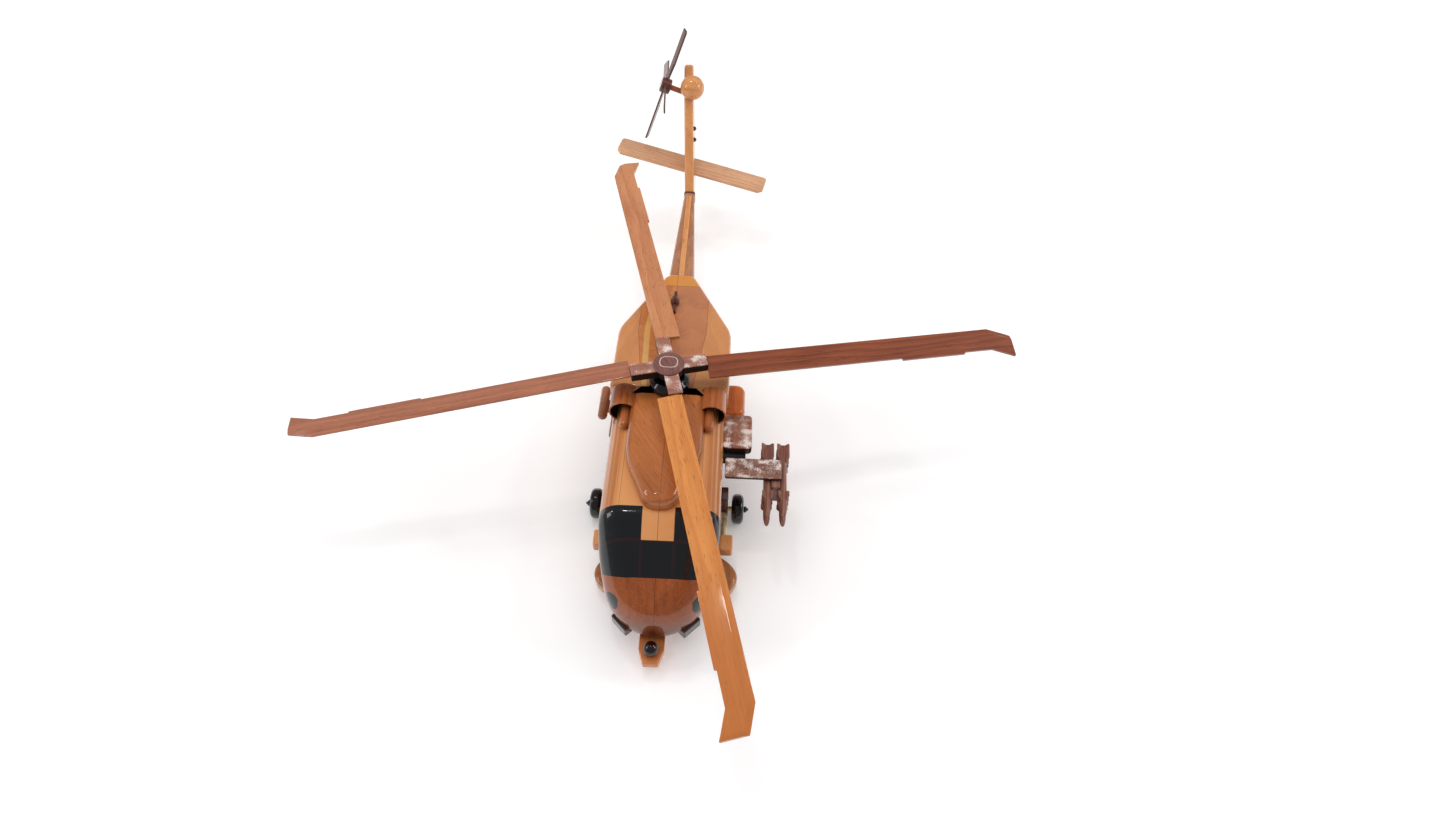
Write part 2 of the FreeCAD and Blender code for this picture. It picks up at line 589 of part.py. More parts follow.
def make_fin(stabilator):
    """The swept fin, leaning to starboard and slotted for the stabilator, its gearbox and two lights."""
    blank = piece("tail_fin_blank")
    side = outline(sketch(blank, "YZ", "side"),
                   [("band_end", "boom_end_low"), ("band_end", "boom_end_high"),
                    ("fin_top_front", "fin_top_front_z"), ("fin_tip", "fin_tip_z"), ("fin_back", "fin_back_z"),
                    ("band_end + fin_foot", "boom_end_low")])
    pad(blank, side, "fin_thickness", symmetric=True)
    dress(blank, "Fillet", "fin_round",
          lambda edge: edge.BoundBox.XLength < 1e-6 and edge.BoundBox.YMax > size("band_end") + 0.1)
    place(blank, "boom_end_low * sin(fin_lean)", pitch="-fin_lean")
    bulb = ball_at("gearbox_bulb", "bulb_radius", "bulb_x", "bulb_y", "bulb_z")
    fin = cut("tail_fin", blank, stabilator, bulb)
    lights = doc.addObject("Part::Compound", "fin_lights")
    lights.Label = "fin_lights"
    lights.Links = []
    for number in range(2):
        height = f"(light_z - {number} * light_step_z)"
        light = ball_at(f"fin_light_ball_{number}", "light_radius",
                        f"fin_thickness / 2 + seat - ({height} - boom_end_low) * tan(fin_lean)",
                        f"light_y - {number} * light_step_y", height)
        lights.Links += [cut(f"fin_light_{number}", light, fin)]
    keep(fin, bulb, lights)
    return fin, bulb


def tail_place(item, yaw="0", roll="0", back="0"):
    """Put a piece on the canted tail rotor shaft, back from the hub's centre along the shaft."""
    x = f"-tail_hub_x + ({back}) * cos(tail_cant)"
    z = f"tail_hub_z - ({back}) * sin(tail_cant)"
    bind(item, "Placement", f"placement(vector({x}; mast_y + tail_hub_y; {z}); rotation(0; tail_cant - 90; 0))"
                            f" * placement(vector(0; 0; 0); rotation({yaw}; 0; {roll}))")
    return item


def make_tail_rotor(fin, bulb):
    """A fixed shaft from the fin, and a hub with four blades that turns on its end."""
    shaft = tail_place(rod("tail_shaft_blank", "tail_shaft_radius", "tail_reach + seat * 3"),
                       back="tail_reach + seat * 3")
    hub = piece("tail_rotor_hub")
    drum = sketch(hub, "XY", "drum", "-tail_hub_length / 2")
    ring(drum, "0", "0", "tail_hub_radius")
    pad(hub, drum, "tail_hub_length")
    bore = ring(sketch(hub, "XY", "bore", "-tail_hub_length / 2"), "0", "0", "tail_shaft_radius + running_gap")
    pocket(hub, bore, "tail_hub_length / 2 + running_gap", backward=True)
    dress(hub, "Fillet", "seat * 2", lambda edge: edge.BoundBox.ZMin > size("tail_hub_length") / 2 - 0.1)
    tail_place(hub)
    keep(cut("tail_rotor_shaft", shaft, fin, bulb), hub)
    for number in range(4):
        blade = piece(f"tail_blade_blank_{number + 1}")
        half = "tail_blade_chord / 2"
        plan = outline(sketch(blade, "XY", "plan"),
                       [("tail_hub_radius - seat", f"-{half} / 2"), ("tail_blade_cuff", f"-{half} / 2"),
                        ("tail_blade_cuff", f"-{half}"), ("tail_rotor_radius - 1", f"-{half}"),
                        ("tail_rotor_radius", f"-{half} + 1"), ("tail_rotor_radius", half),
                        ("tail_hub_radius - seat", half)])
        pad(blade, plan, "tail_blade_thickness", symmetric=True)
        tail_place(blade, yaw=f"tail_phase + {number * 90}", roll="tail_blade_pitch")
        keep(cut(f"tail_blade_{number + 1}", blade, hub))


# ---------------------------------------------------------------- landing gear
def make_wheel(name, radius, low, high, bore, rounding, dish, hub_radius):
    """A turned wheel about the X axis with rounded tread and a dished face on each side."""
    wheel = turned(name, [(f"{low} + {dish}", bore), (f"{low} + {dish}", hub_radius),
                          (low, f"{hub_radius} + {dish}"), (low, radius), (high, radius),
                          (high, f"{hub_radius} + {dish}"), (f"{high} - {dish}", hub_radius),
                          (f"{high} - {dish}", bore)], axis="H_Axis")
    dress(wheel, "Fillet", rounding, lambda edge: edge.BoundBox.ZMax > size(radius) - 0.01
          and edge.BoundBox.XLength < 1e-4)
    return wheel


def make_main_gear():
    """On each side: a strut plate, a plain axle, a wheel, its cap, a drag beam and its block."""
    axle = place(rod("axle_port", "axle_radius", "axle_end - body_half_width - seat"),
                 "body_half_width + seat", "wheel_y", "wheel_radius", pitch="90")
    plate = piece("gear_strut_blank")
    face = outline(sketch(plate, "YZ", "face", "body_half_width"),
                   [("wheel_y - strut_length / 2", "strut_low"), ("wheel_y + strut_length / 2", "strut_low"),
                    ("wheel_y + strut_length / 2", "strut_shoulder"), ("wheel_y", "strut_high"),
                    ("wheel_y - strut_length / 2", "strut_shoulder")])
    pad(plate, face, "strut_thickness")
    strut = cut("gear_strut_port", plate, axle)
    wheel = make_wheel("wheel_port", "wheel_radius", "wheel_inner", "wheel_outer",
                       "axle_radius + running_gap", "wheel_round", "wheel_dish", "wheel_hub_radius")
    place(wheel, "0", "wheel_y", "wheel_radius")
    cap = doc.addObject("Part::Cone", "axle_cap_port")
    bind(cap, "Radius1", "axle_cap_radius")
    bind(cap, "Radius2", "axle_cap_radius / 8")
    bind(cap, "Height", "axle_cap_length")
    place(cap, "axle_end", "wheel_y", "wheel_radius", pitch="90")
    block = piece("gear_block_blank")
    top = outline(sketch(block, "XY", "top", "radome_high"),
                  [("body_half_width", "block_front"), ("body_half_width + block_width", "block_front"),
                   ("body_half_width + block_width", "block_back"), ("body_half_width", "block_back")])
    pad(block, top, "block_high - radome_high")
    dress(block, "Fillet", "block_round",
          lambda edge: along(edge, 1) and level(edge, size("block_high"))
          and edge.BoundBox.XMin > size("body_half_width") + 0.1)
    run = "(wheel_y - strut_length / 2 - block_back)"
    rise = "(beam_head - beam_foot)"
    beam = place(rod("drag_beam_blank", "beam_radius", f"sqrt({run} ^ 2 + {rise} ^ 2) + 2 * beam_tenon"),
                 "body_half_width + strut_thickness / 2",
                 f"wheel_y - strut_length / 2 + beam_tenon * {run} / sqrt({run} ^ 2 + {rise} ^ 2)",
                 f"beam_foot - beam_tenon * {rise} / sqrt({run} ^ 2 + {rise} ^ 2)",
                 roll=f"atan2({run}; {rise})")
    beam_port = cut("drag_beam_port", beam, strut, block)
    keep(strut, mirrored("gear_strut_starboard", strut), axle, mirrored("axle_starboard", axle),
         wheel, mirrored("wheel_starboard", wheel), both_sides("drag_beams", beam_port),
         both_sides("axle_caps", cap), both_sides("gear_blocks", block))


def make_tail_gear(fuselage):
    """A strut under the tail with a cross axle that carries two small wheels."""
    post = place(rod("tail_post", "tail_strut_radius", "tail_strut_high - fork_high + seat"),
                 "0", "tail_wheel_y", "fork_high - seat")
    foot = box("tail_foot", "-fork_width / 2", "fork_width / 2", "tail_wheel_y - fork_length / 2",
               "tail_wheel_y + fork_length / 2", "tail_wheel_radius - fork_length / 2", "fork_high")
    reach = "(fork_width / 2 + end_gap + tail_wheel_width + end_gap)"
    hole = place(rod("tail_axle_hole", "tail_axle_radius + running_gap", f"2 * {reach}"),
                 f"-{reach}", "tail_wheel_y", "tail_wheel_radius", pitch="90")
    axle = place(rod("tail_axle", "tail_axle_radius", f"2 * {reach}"),
                 f"-{reach}", "tail_wheel_y", "tail_wheel_radius", pitch="90")
    wheel = make_wheel("tail_wheel_blank", "tail_wheel_radius", "fork_width / 2 + end_gap",
                       "fork_width / 2 + end_gap + tail_wheel_width", "tail_axle_radius", "tail_wheel_width / 3",
                       "wheel_dish / 2", "wheel_hub_radius / 2")
    place(wheel, "0", "tail_wheel_y", "tail_wheel_radius")
    keep(cut("tail_strut", fused("tail_strut_blank", post, foot), fuselage, hole), axle,
         both_sides("tail_wheels", wheel))


# ---------------------------------------------------------------- nose
def make_nose_fittings(fuselage):
    """The pan-shaped radome, the sensor bracket with its ball, and a block on each nose corner."""
    rim = doc.addObject("Part::Ellipse", "radome_rim")
    bind(rim, "MajorRadius", "radome_half_width")
    bind(rim, "MinorRadius", "radome_half_length")
    place(rim, "radome_x", "radome_y", "radome_low")
    drum = doc.addObject("Part::Extrusion", "radome_drum")
    drum.Base = rim
    drum.DirMode = "Custom"
    drum.Dir = Vector(0, 0, 1)
    bind(drum, "LengthFwd", "radome_high - radome_low")
    drum.Solid = True
    doc.recompute()
    pan = doc.addObject("Part::Fillet", "radome_pan")
    pan.Base = drum
    rims = [number for number, edge in enumerate(drum.Shape.Edges, start=1) if edge.BoundBox.ZLength < 1e-6]
    pan.Edges = [(number, size("radome_round"), size("radome_round")) for number in rims]
    radome = cut("radome", pan, fuselage)
    plank = piece("nose_bracket_blank")
    half, tip = "bracket_half_width", "bracket_tip_half"
    plan = outline(sketch(plank, "XY", "plan", "bracket_low"),
                   [(f"-{half}", "bracket_back"), (f"-{half}", "bracket_taper"), (f"-{tip}", "bracket_front"),
                    (tip, "bracket_front"), (half, "bracket_taper"), (half, "bracket_back")])
    pad(plank, plan, "bracket_high - bracket_low")
    place(plank, "bracket_offset")
    bracket = cut("nose_bracket", plank, fuselage)
    turret = cut("nose_turret", ball_at("turret_ball", "turret_radius", "bracket_offset", "turret_y",
                                        "bracket_high + turret_radius - seat"), bracket)
    block = box("corner_block", "-corner_block_length / 2", "corner_block_length / 2",
                "-corner_block_width / 2", "corner_block_width / 2", "corner_block_low", "corner_block_high")
    bind(block, "Placement",
         "placement(vector(corner_block_x; mast_y + corner_block_y; corner_block_low);"
         " rotation(corner_block_yaw; 0; 0))"
         " * placement(vector(-corner_block_length / 2; 0; 0); rotation(0; 0; 0))")
    corner = cut("corner_block_seated", block, fuselage)
    keep(radome, bracket, turret, both_sides("nose_corner_blocks", corner))


# ---------------------------------------------------------------- stores and side equipment
def make_missile(name, column, level_number):
    """A round-nosed missile with four tail fins and four small wings, set on the diagonal."""
    missile = piece(name)
    radius, length, nose = "missile_radius", "missile_length", "missile_nose"
    profile = outline(sketch(missile, "YZ", "profile"),
                      [("0", "0"), (f"{nose} / 16", f"{radius} * 0.4"), (f"{nose} / 4", f"{radius} * 0.74"),
                       (f"{nose} * 0.6", f"{radius} * 0.94"), (nose, radius), (length, radius), (length, "0")])
    turning = missile.newObject("PartDesign::Revolution", f"{name}_turning")
    turning.Profile = profile
    turning.ReferenceAxis = (profile, ["H_Axis"])
    turning.Angle = 360
    for tag, start, chord, span, rake in (
            ("fins", f"{length} - tail_fin_length", "tail_fin_length", "tail_fin_span", "tail_fin_rake"),
            ("wings", "canard_station", "canard_length", "canard_span", "canard_length / 2")):
        blade = outline(sketch(missile, "YZ", tag),
                        [(start, f"{radius} / 2"), (f"{start} + {rake}", span), (f"{start} + {chord}", span),
                         (f"{start} + {chord}", f"{radius} / 2")])
        pattern(missile, pad(missile, blade, "tail_fin_thickness", symmetric=True), axis="H_Axis")
    return place(missile, f"missile_offset + {column} * missile_spacing", "missile_tail - missile_length",
                 f"missile_z - {level_number} * missile_pitch", pitch="45")


def make_stores():
    """The port pylon, its launcher rack and four missiles."""
    pylon = piece("weapons_pylon")
    plan = outline(sketch(pylon, "XY", "plan", "pylon_low"),
                   [("body_half_width + pylon_root", "pylon_front"), ("pylon_end", "pylon_front"),
                    ("pylon_end", "pylon_back"), ("body_half_width + pylon_root", "pylon_back")])
    pad(pylon, plan, "pylon_thickness")
    dress(pylon, "Chamfer", "pylon_thickness / 4", lambda edge: along(edge, 0))
    blank = box("launcher_rack_blank", "missile_offset + missile_radius",
                "missile_offset + missile_spacing - missile_radius", "rack_front", "rack_back", "rack_low",
                "pylon_low")
    missiles = [make_missile(f"missile_{side}_{tier}", column, step)
                for column, side in enumerate(("inboard", "outboard"))
                for step, tier in enumerate(("upper", "lower"))]
    keep(pylon, cut("launcher_rack", blank, *missiles), *missiles)


def make_side_equipment(fuselage, deck):
    """Port: a box on its foot and a rounded cowling.  Starboard: hoist, pod and door rail."""
    case = piece("equipment_box")
    plan = outline(sketch(case, "XY", "plan", "box_low"),
                   [("body_half_width", "box_front"), ("body_half_width + box_width", "box_front"),
                    ("body_half_width + box_width", "box_back"), ("body_half_width", "box_back")])
    pad(case, plan, "box_high - box_low")
    outer = size("body_half_width") + 0.1
    dress(case, "Fillet", "box_round", lambda edge: along(edge, 2) and edge.BoundBox.XMin > outer)
    dress(case, "Fillet", "box_round / 3", lambda edge: level(edge, size("box_high"))
          and edge.BoundBox.XMax > outer)
    foot = box("box_foot", "body_half_width", "body_half_width + foot_width", "pylon_back", "box_front",
               "foot_low", "foot_high")
    cowl = piece("side_cowling_blank")
    side = outline(sketch(cowl, "XY", "plan", "cowl_low"),
                   [("body_half_width", "box_back"), ("body_half_width + cowl_width", "box_back"),
                    ("body_half_width + cowl_width", "cowl_back"), ("body_half_width", "cowl_back")])
    pad(cowl, side, "cowl_high - cowl_low")
    far = size("body_half_width + cowl_width") - 0.01
    dress(cowl, "Fillet", "cowl_round", lambda edge: edge.BoundBox.XMin > far
          and edge.BoundBox.YMax > size("box_back") + 0.1)
    hoist_x = "-hoist_offset"
    drum = capsule("hoist_drum", "hoist_radius", hoist_x, "hoist_z", "hoist_front", "hoist_back")
    arm = box("hoist_arm", hoist_x, "-body_half_width",
              "(hoist_front + hoist_back - hoist_arm_length) / 2",
              "(hoist_front + hoist_back + hoist_arm_length) / 2",
              "roof - body_corner - hoist_arm_height", "roof - body_corner")
    hoist = fused("rescue_hoist", drum, arm)
    pod = cut("side_pod", capsule("side_pod_blank", "pod_radius", "-(body_half_width + pod_radius - seat)",
                                  "pod_z", "pod_front", "pod_back"), fuselage)
    rail = cut("door_rail", place(rod("door_rail_blank", "rail_radius", "rail_back - rail_front"),
                                  "-(body_half_width + rail_radius - seat)", "rail_front", "rail_z",
                                  roll="-90"), fuselage)
    keep(case, foot, cut("side_cowling", cowl, deck), hoist, pod, rail)


def make_deck_fittings(deck):
    """Beacon, two stub antennas, a dowel plug and a ball along the middle of the rear deck."""
    def top(y):
        return f"(deck_high - deck_slope * ({y} - deck_front))"

    foot = place(rod("beacon_foot", "beacon_foot_radius", "beacon_foot_height + fitting_sink"),
                 "fitting_x", "beacon_y", f"{top('beacon_y')} - fitting_sink")
    dome = ball_at("beacon_dome", "beacon_radius", "fitting_x", "beacon_y",
                   f"{top('beacon_y')} + beacon_foot_height + beacon_radius / 2")
    stubs = []
    for tag, start in (("fore", "beacon_y - beacon_radius - antenna_gap - antenna_length"),
                       ("aft", "beacon_y + beacon_radius + antenna_gap")):
        stub = box(f"antenna_{tag}", "fitting_x - antenna_width / 2", "fitting_x + antenna_width / 2", start,
                   f"{start} + antenna_length", f"{top(start)} - fitting_sink",
                   f"{top(start)} + antenna_height")
        stubs.append(cut(f"antenna_{tag}_seated", stub, deck))
    antennas = doc.addObject("Part::Compound", "deck_antennas")
    antennas.Label = "deck_antennas"
    antennas.Links = stubs
    plug = place(rod("plug_blank", "plug_radius", "plug_height + fitting_sink"), "fitting_x", "plug_y",
                 f"{top('plug_y')} - fitting_sink")
    ball = ball_at("deck_ball_blank", "ball_radius", "fitting_x", "ball_y",
                   f"{top('ball_y')} + ball_radius - fitting_sink")
    keep(cut("beacon", fused("beacon_blank", foot, dome), deck), antennas,
         cut("deck_plug", plug, deck), cut("deck_ball", ball, deck))


# ---------------------------------------------------------------- assembly
fuselage = make_fuselage()
mast, swashplate = make_mast()
fairing = make_fairing(fuselage, swashplate, mast)
deck = make_deck(fuselage, swashplate, mast)
make_engines(fuselage, fairing)
make_hub()
for quarter, side in enumerate(("port", "aft", "starboard", "front")):
    keep(make_main_blade(f"main_blade_{side}", quarter, f"pitch_{side}"))
make_boom()
make_tail_rotor(*make_fin(make_stabilator()))
make_main_gear()
make_tail_gear(fuselage)
make_nose_fittings(fuselage)
make_stores()
make_side_equipment(fuselage, deck)
make_deck_fittings(deck)
doc.recompute()

faults = [f"{item.Name}: {item.State}" for item in doc.Objects
          if {"Invalid", "Error"} & set(item.State)]
faults += [f"{node.Label}: empty or invalid" for node in nodes
           if node.Shape.isNull() or not node.Shape.isValid() or not node.Shape.Solids]
if faults:
    raise RuntimeError("\n".join(faults))
os.makedirs("parts", exist_ok=True)
for node in nodes:
    node.Shape.exportStep(f"parts/{node.Label}.step")
print(f"{len(nodes)} nodes, mast at y = {size('mast_y'):.2f}")
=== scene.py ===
"""Dressed model of a naval utility helicopter, carved in hardwood and lacquered.

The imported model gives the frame; every carved piece here is laid over its own CAD node.  Sizes are
millimetres about the rotor mast: +X to port, +Y aft of the mast, +Z up from the ground.
"""
import json
import logging
from dataclasses import dataclass, field
from enum import Enum

import bmesh
import bpy
import numpy as np
from mathutils import Matrix, Vector

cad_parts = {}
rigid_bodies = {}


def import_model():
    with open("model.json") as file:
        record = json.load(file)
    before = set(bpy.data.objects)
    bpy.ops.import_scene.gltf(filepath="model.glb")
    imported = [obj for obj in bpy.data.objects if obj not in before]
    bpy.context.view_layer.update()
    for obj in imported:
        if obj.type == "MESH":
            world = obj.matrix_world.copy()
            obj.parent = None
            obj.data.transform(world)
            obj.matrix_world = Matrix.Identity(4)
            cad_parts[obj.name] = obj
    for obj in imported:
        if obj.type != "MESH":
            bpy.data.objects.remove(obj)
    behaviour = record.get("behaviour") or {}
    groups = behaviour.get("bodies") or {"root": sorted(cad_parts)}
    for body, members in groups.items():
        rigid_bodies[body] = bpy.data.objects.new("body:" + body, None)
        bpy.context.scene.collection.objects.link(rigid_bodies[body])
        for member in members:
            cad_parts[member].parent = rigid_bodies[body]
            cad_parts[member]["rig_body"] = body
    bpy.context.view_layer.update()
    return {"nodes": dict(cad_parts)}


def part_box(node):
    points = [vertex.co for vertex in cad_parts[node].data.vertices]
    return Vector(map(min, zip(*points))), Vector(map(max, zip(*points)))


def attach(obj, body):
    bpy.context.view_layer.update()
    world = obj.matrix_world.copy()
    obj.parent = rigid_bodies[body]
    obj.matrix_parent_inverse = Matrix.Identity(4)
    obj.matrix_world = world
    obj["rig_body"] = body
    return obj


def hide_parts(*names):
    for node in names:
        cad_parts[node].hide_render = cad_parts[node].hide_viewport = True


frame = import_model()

log = logging.getLogger("helicopter")

MM = 0.001
MAST_Y = sum(corner.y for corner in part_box("mast")) / 2 / MM
Points = np.ndarray


# ---------------------------------------------------------------- places and surfaces
def span(node: str) -> tuple[Points, Points]:
    """The lowest and highest corner of a CAD node.

    Args:
        node: name of the node.

    Returns:
        Both corners in millimetres about the mast.
    """
    low, high = (np.array(corner) / MM - (0.0, MAST_Y, 0.0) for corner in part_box(node))
    return low, high


def core(node: str) -> tuple[Points, Points]:
    """A CAD node's middle and its half sizes, in millimetres about the mast."""
    low, high = span(node)
    return (low + high) / 2, (high - low) / 2


@dataclass(frozen=True)
class Place:
    """Where a piece stands: its origin, and yaw, pitch and roll in degrees, inside an outer place."""

    origin: tuple[float, float, float] = (0.0, 0.0, 0.0)
    yaw: float = 0.0
    pitch: float = 0.0
    roll: float = 0.0
    base: "Place | None" = None

    def put(self, points: Points) -> Points:
        """Carry local points into the model: turned by Rz(yaw) Ry(pitch) Rx(roll), then moved."""
        turn = (Matrix.Rotation(np.radians(self.yaw), 3, "Z") @ Matrix.Rotation(np.radians(self.pitch), 3, "Y")
                @ Matrix.Rotation(np.radians(self.roll), 3, "X"))
        moved = points @ np.array(turn).T + np.array(self.origin)
        return self.base.put(moved) if self.base else moved


@dataclass
class Surface:
    """A closed skin: points, faces by point number, and each point's place in the plank it was cut from."""

    points: Points
    faces: list[list[int]]
    grain: Points

    def placed(self, place: Place) -> "Surface":
        """The same skin carried to a place; the grain goes with it."""
        return Surface(place.put(self.points), self.faces, self.grain)

    def cut_along(self, axis: int) -> "Surface":
        """The same skin with its grain running along a local axis (0, 1 or 2)."""
        return Surface(self.points, self.faces, np.roll(self.grain, -axis, axis=1))

    def __add__(self, other: "Surface") -> "Surface":
        """Two skins in one piece."""
        shift = len(self.points)
        faces = self.faces + [[corner + shift for corner in face] for face in other.faces]
        return Surface(np.vstack((self.points, other.points)), faces, np.vstack((self.grain, other.grain)))


def grid_faces(rows: int, columns: int, wrap_rows: bool = False) -> list[list[int]]:
    """Quads of a grid whose points run ring by ring; each ring is closed.

    Args:
        rows: how many rings.
        columns: points in a ring.
        wrap_rows: whether the last ring joins the first.

    Returns:
        Four point numbers for each quad: (i, j), (i, j+1), (i+1, j+1), (i+1, j).
    """
    row, column = np.meshgrid(np.arange(rows if wrap_rows else rows - 1), np.arange(columns), indexing="ij")
    above, beside = (row + 1) % rows, (column + 1) % columns
    quads = np.stack((row * columns + column, row * columns + beside,
                      above * columns + beside, above * columns + column), axis=-1)
    return quads.reshape(-1, 4).tolist()


def skin(rings: Points, closed: bool = False) -> Surface:
    """A skin over rings of points, with a flat face over each end unless the rings close on themselves."""
    rows, columns = rings.shape[:2]
    faces = grid_faces(rows, columns, closed)
    if not closed:
        faces += [list(range(columns))[::-1], list(range((rows - 1) * columns, rows * columns))]
    points = rings.reshape(-1, 3)
    return Surface(points, faces, points.copy())


def unit(vector: Points) -> Points:
    """A vector cut to length one."""
    return vector / np.linalg.norm(vector)


def eased(corners: list, radii: float | list, steps: int = 5, closed: bool = True) -> Points:
    """An outline whose corners are tangent arcs.

    Each arc is the spherical blend (a sin((1-t)w) + b sin(tw)) / sin(w) of its two end radii a and b,
    where w is the angle that the outline turns through.  A point 0.1 mm beyond each arc keeps the
    straight run next to it flat in the light.

    Args:
        corners: the sharp corners, in order.
        radii: one radius, or one for each corner; 0 keeps a corner sharp.
        steps: chords in each arc.
        closed: whether the last corner joins the first.

    Returns:
        The outline's points.
    """
    corners = np.asarray(corners, float)
    radii = np.array(np.broadcast_to(radii, len(corners)), float)
    if not closed:
        radii[[0, -1]] = 0
    after = np.roll(corners, -1, axis=0) - corners
    edge = np.linalg.norm(after, axis=1)
    ahead = after / edge[:, None]
    back = -np.roll(ahead, 1, axis=0)
    half = np.arccos(np.clip(np.sum(back * ahead, axis=1), -1, 1)) / 2
    tangent = radii / np.tan(half)
    room = edge - tangent - np.roll(tangent, -1)
    share = np.linspace(0, 1, steps + 1)[:, None]
    run = []
    for index, corner in enumerate(corners):
        if radii[index] <= 0:
            run.append(corner[None])
            continue
        middle = corner + unit(back[index] + ahead[index]) * radii[index] / np.sin(half[index])
        start, stop = (corner + way * tangent[index] - middle for way in (back[index], ahead[index]))
        turn = np.pi - 2 * half[index]
        if room[index - 1] > 0.3:
            run.append((corner + back[index] * (tangent[index] + 0.1))[None])
        run.append(middle + (start * np.sin((1 - share) * turn) + stop * np.sin(share * turn)) / np.sin(turn))
        if room[index] > 0.3:
            run.append((corner + ahead[index] * (tangent[index] + 0.1))[None])
    return np.concatenate(run)


def inset(outline: Points, distance: float) -> Points:
    """An anticlockwise outline moved inwards, each point along the mitre of its two edges."""
    ahead = np.roll(outline, -1, axis=0) - outline
    ahead /= np.linalg.norm(ahead, axis=1, keepdims=True) + 1e-12
    normal = np.stack((-ahead[:, 1], ahead[:, 0]), axis=1)
    before = np.roll(normal, 1, axis=0)
    mitre = (normal + before) / (1 + np.sum(normal * before, axis=1, keepdims=True))
    return outline + mitre * distance


def board(outline: Points, low: float, high: float, top: float, bottom: float | None = None,
          lift=None, steps: int = 5) -> Surface:
    """A flat board with its rims eased to quarter rounds.

    A rim's ring at angle a is the outline moved in by r (1 - cos a), at height high - r + r sin a.

    Args:
        outline: its plan, anticlockwise.
        low: underside height.
        high: top height.
        top: radius of the upper rim.
        bottom: radius of the lower rim, the upper one's if left out.
        lift: how much higher the top is at (x, y), for a sloping top.
        steps: chords in each quarter round.

    Returns:
        The board, grain along its local X.
    """
    bottom = top if bottom is None else bottom
    flat = 0.1
    turn = np.linspace(0, np.pi / 2, steps + 1)
    under = [(bottom + flat, low)] + [(bottom * (1 - np.sin(a)), low + bottom * (1 - np.cos(a))) for a in turn]
    over = [(top * (1 - np.cos(a)), high - top + top * np.sin(a)) for a in turn] + [(top + flat, high)]
    if high - low - top - bottom > 3 * flat:
        under, over = under + [(0.0, low + bottom + flat)], [(0.0, high - top - flat)] + over
    rings = []
    for distance, height in under + over:
        plan = inset(outline, distance)
        level = np.full(len(plan), height)
        if lift is not None and height > (low + high) / 2:
            level = level + lift(plan[:, 0], plan[:, 1])
        rings.append(np.column_stack((plan, level)))
    return skin(np.array(rings))


def brick(low: Points, high: Points, rim: float, corner: float | None = None) -> Surface:
    """A rectangular block between two corners, its rims and upright edges eased."""
    (x0, y0, z0), (x1, y1, z1) = low, high
    plan = eased([(x0, y0), (x1, y0), (x1, y1), (x0, y1)], max(corner or 0, rim + 0.15), 4)
    return board(plan, z0, z1, rim)


def lathe(profile: list | Points, around: int = 64, squash: tuple[float, float] = (1.0, 1.0),
          bored: bool = False) -> Surface:
    """A turned piece: each (radius, height) of the profile is carried round the local Z axis.

    Args:
        profile: radius and height pairs; an open profile starts and ends on the axis.
        around: chords in a turn.
        squash: how much X and Y are stretched, for an oval piece.
        bored: whether the profile closes on itself round a bore.

    Returns:
        The turned piece, grain along its axis.
    """
    profile = np.asarray(profile, float)
    angle = np.linspace(0, 2 * np.pi, around, endpoint=False)
    radius, height = profile[:, :1], profile[:, 1:]
    rings = np.stack((radius * np.cos(angle) * squash[0], radius * np.sin(angle) * squash[1],
                      height + 0 * angle), axis=-1)
    return skin(rings, bored).cut_along(2)


def ball(radius: float, start: float = -90.0) -> Surface:
    """A turned ball, or the part of one above a latitude in degrees."""
    lat = np.radians(np.linspace(start, 90, 25))
    return lathe(np.column_stack((radius * np.cos(lat), radius * np.sin(lat))))


def capsule(radius: float, length: float) -> Surface:
    """A round bar along Z from 0 to its length, with ball ends."""
    lat = np.linspace(-np.pi / 2, np.pi / 2, 26)
    rise = np.where(lat < 0, radius, length - radius)
    return lathe(np.column_stack((radius * np.cos(lat), rise + radius * np.sin(lat))), 40)


def bar(node: str) -> Surface:
    """A ball-ended bar along Y, as thick as its node is high and against the node's lowest X."""
    low, high = span(node)
    radius = (high[2] - low[2]) / 2
    where = Place((low[0] + radius, low[1], (low[2] + high[2]) / 2), roll=-90)
    return capsule(radius, high[1] - low[1]).placed(where)


def ball_in(node: str) -> Surface:
    """A ball as wide as its node, against the node's highest Z."""
    middle, half = core(node)
    radius = half[0]
    return ball(radius).placed(Place((middle[0], middle[1], span(node)[1][2] - radius)))


def stood_in(node: str, profile: Points, around: int) -> Surface:
    """A turned piece that stands on its node's lowest Z."""
    middle, _ = core(node)
    return lathe(profile, around).placed(Place((middle[0], middle[1], span(node)[0][2])))


def flowing(knots: Points, values: Points, at: Points) -> Points:
    """A smooth curve through values at knots that never overshoots them: cubic Hermite pieces whose
    slopes are the harmonic mean of the neighbouring chords' slopes, or 0 where those change sign."""
    gaps = np.diff(knots)
    chord = np.diff(values) / gaps
    same = chord[1:] * chord[:-1] > 0
    total = np.where(same, chord[1:] + chord[:-1], 1.0)
    slope = np.concatenate(([chord[0]], np.where(same, 2 * chord[1:] * chord[:-1] / total, 0), [chord[-1]]))
    cell = np.clip(np.searchsorted(knots, at, side="right") - 1, 0, len(gaps) - 1)
    t, gap = (at - knots[cell]) / gaps[cell], gaps[cell]
    return (values[cell] * (1 + 2 * t) * (1 - t) ** 2 + values[cell + 1] * t ** 2 * (3 - 2 * t)
            + gap * t * (1 - t) * (slope[cell] * (1 - t) - slope[cell + 1] * t))


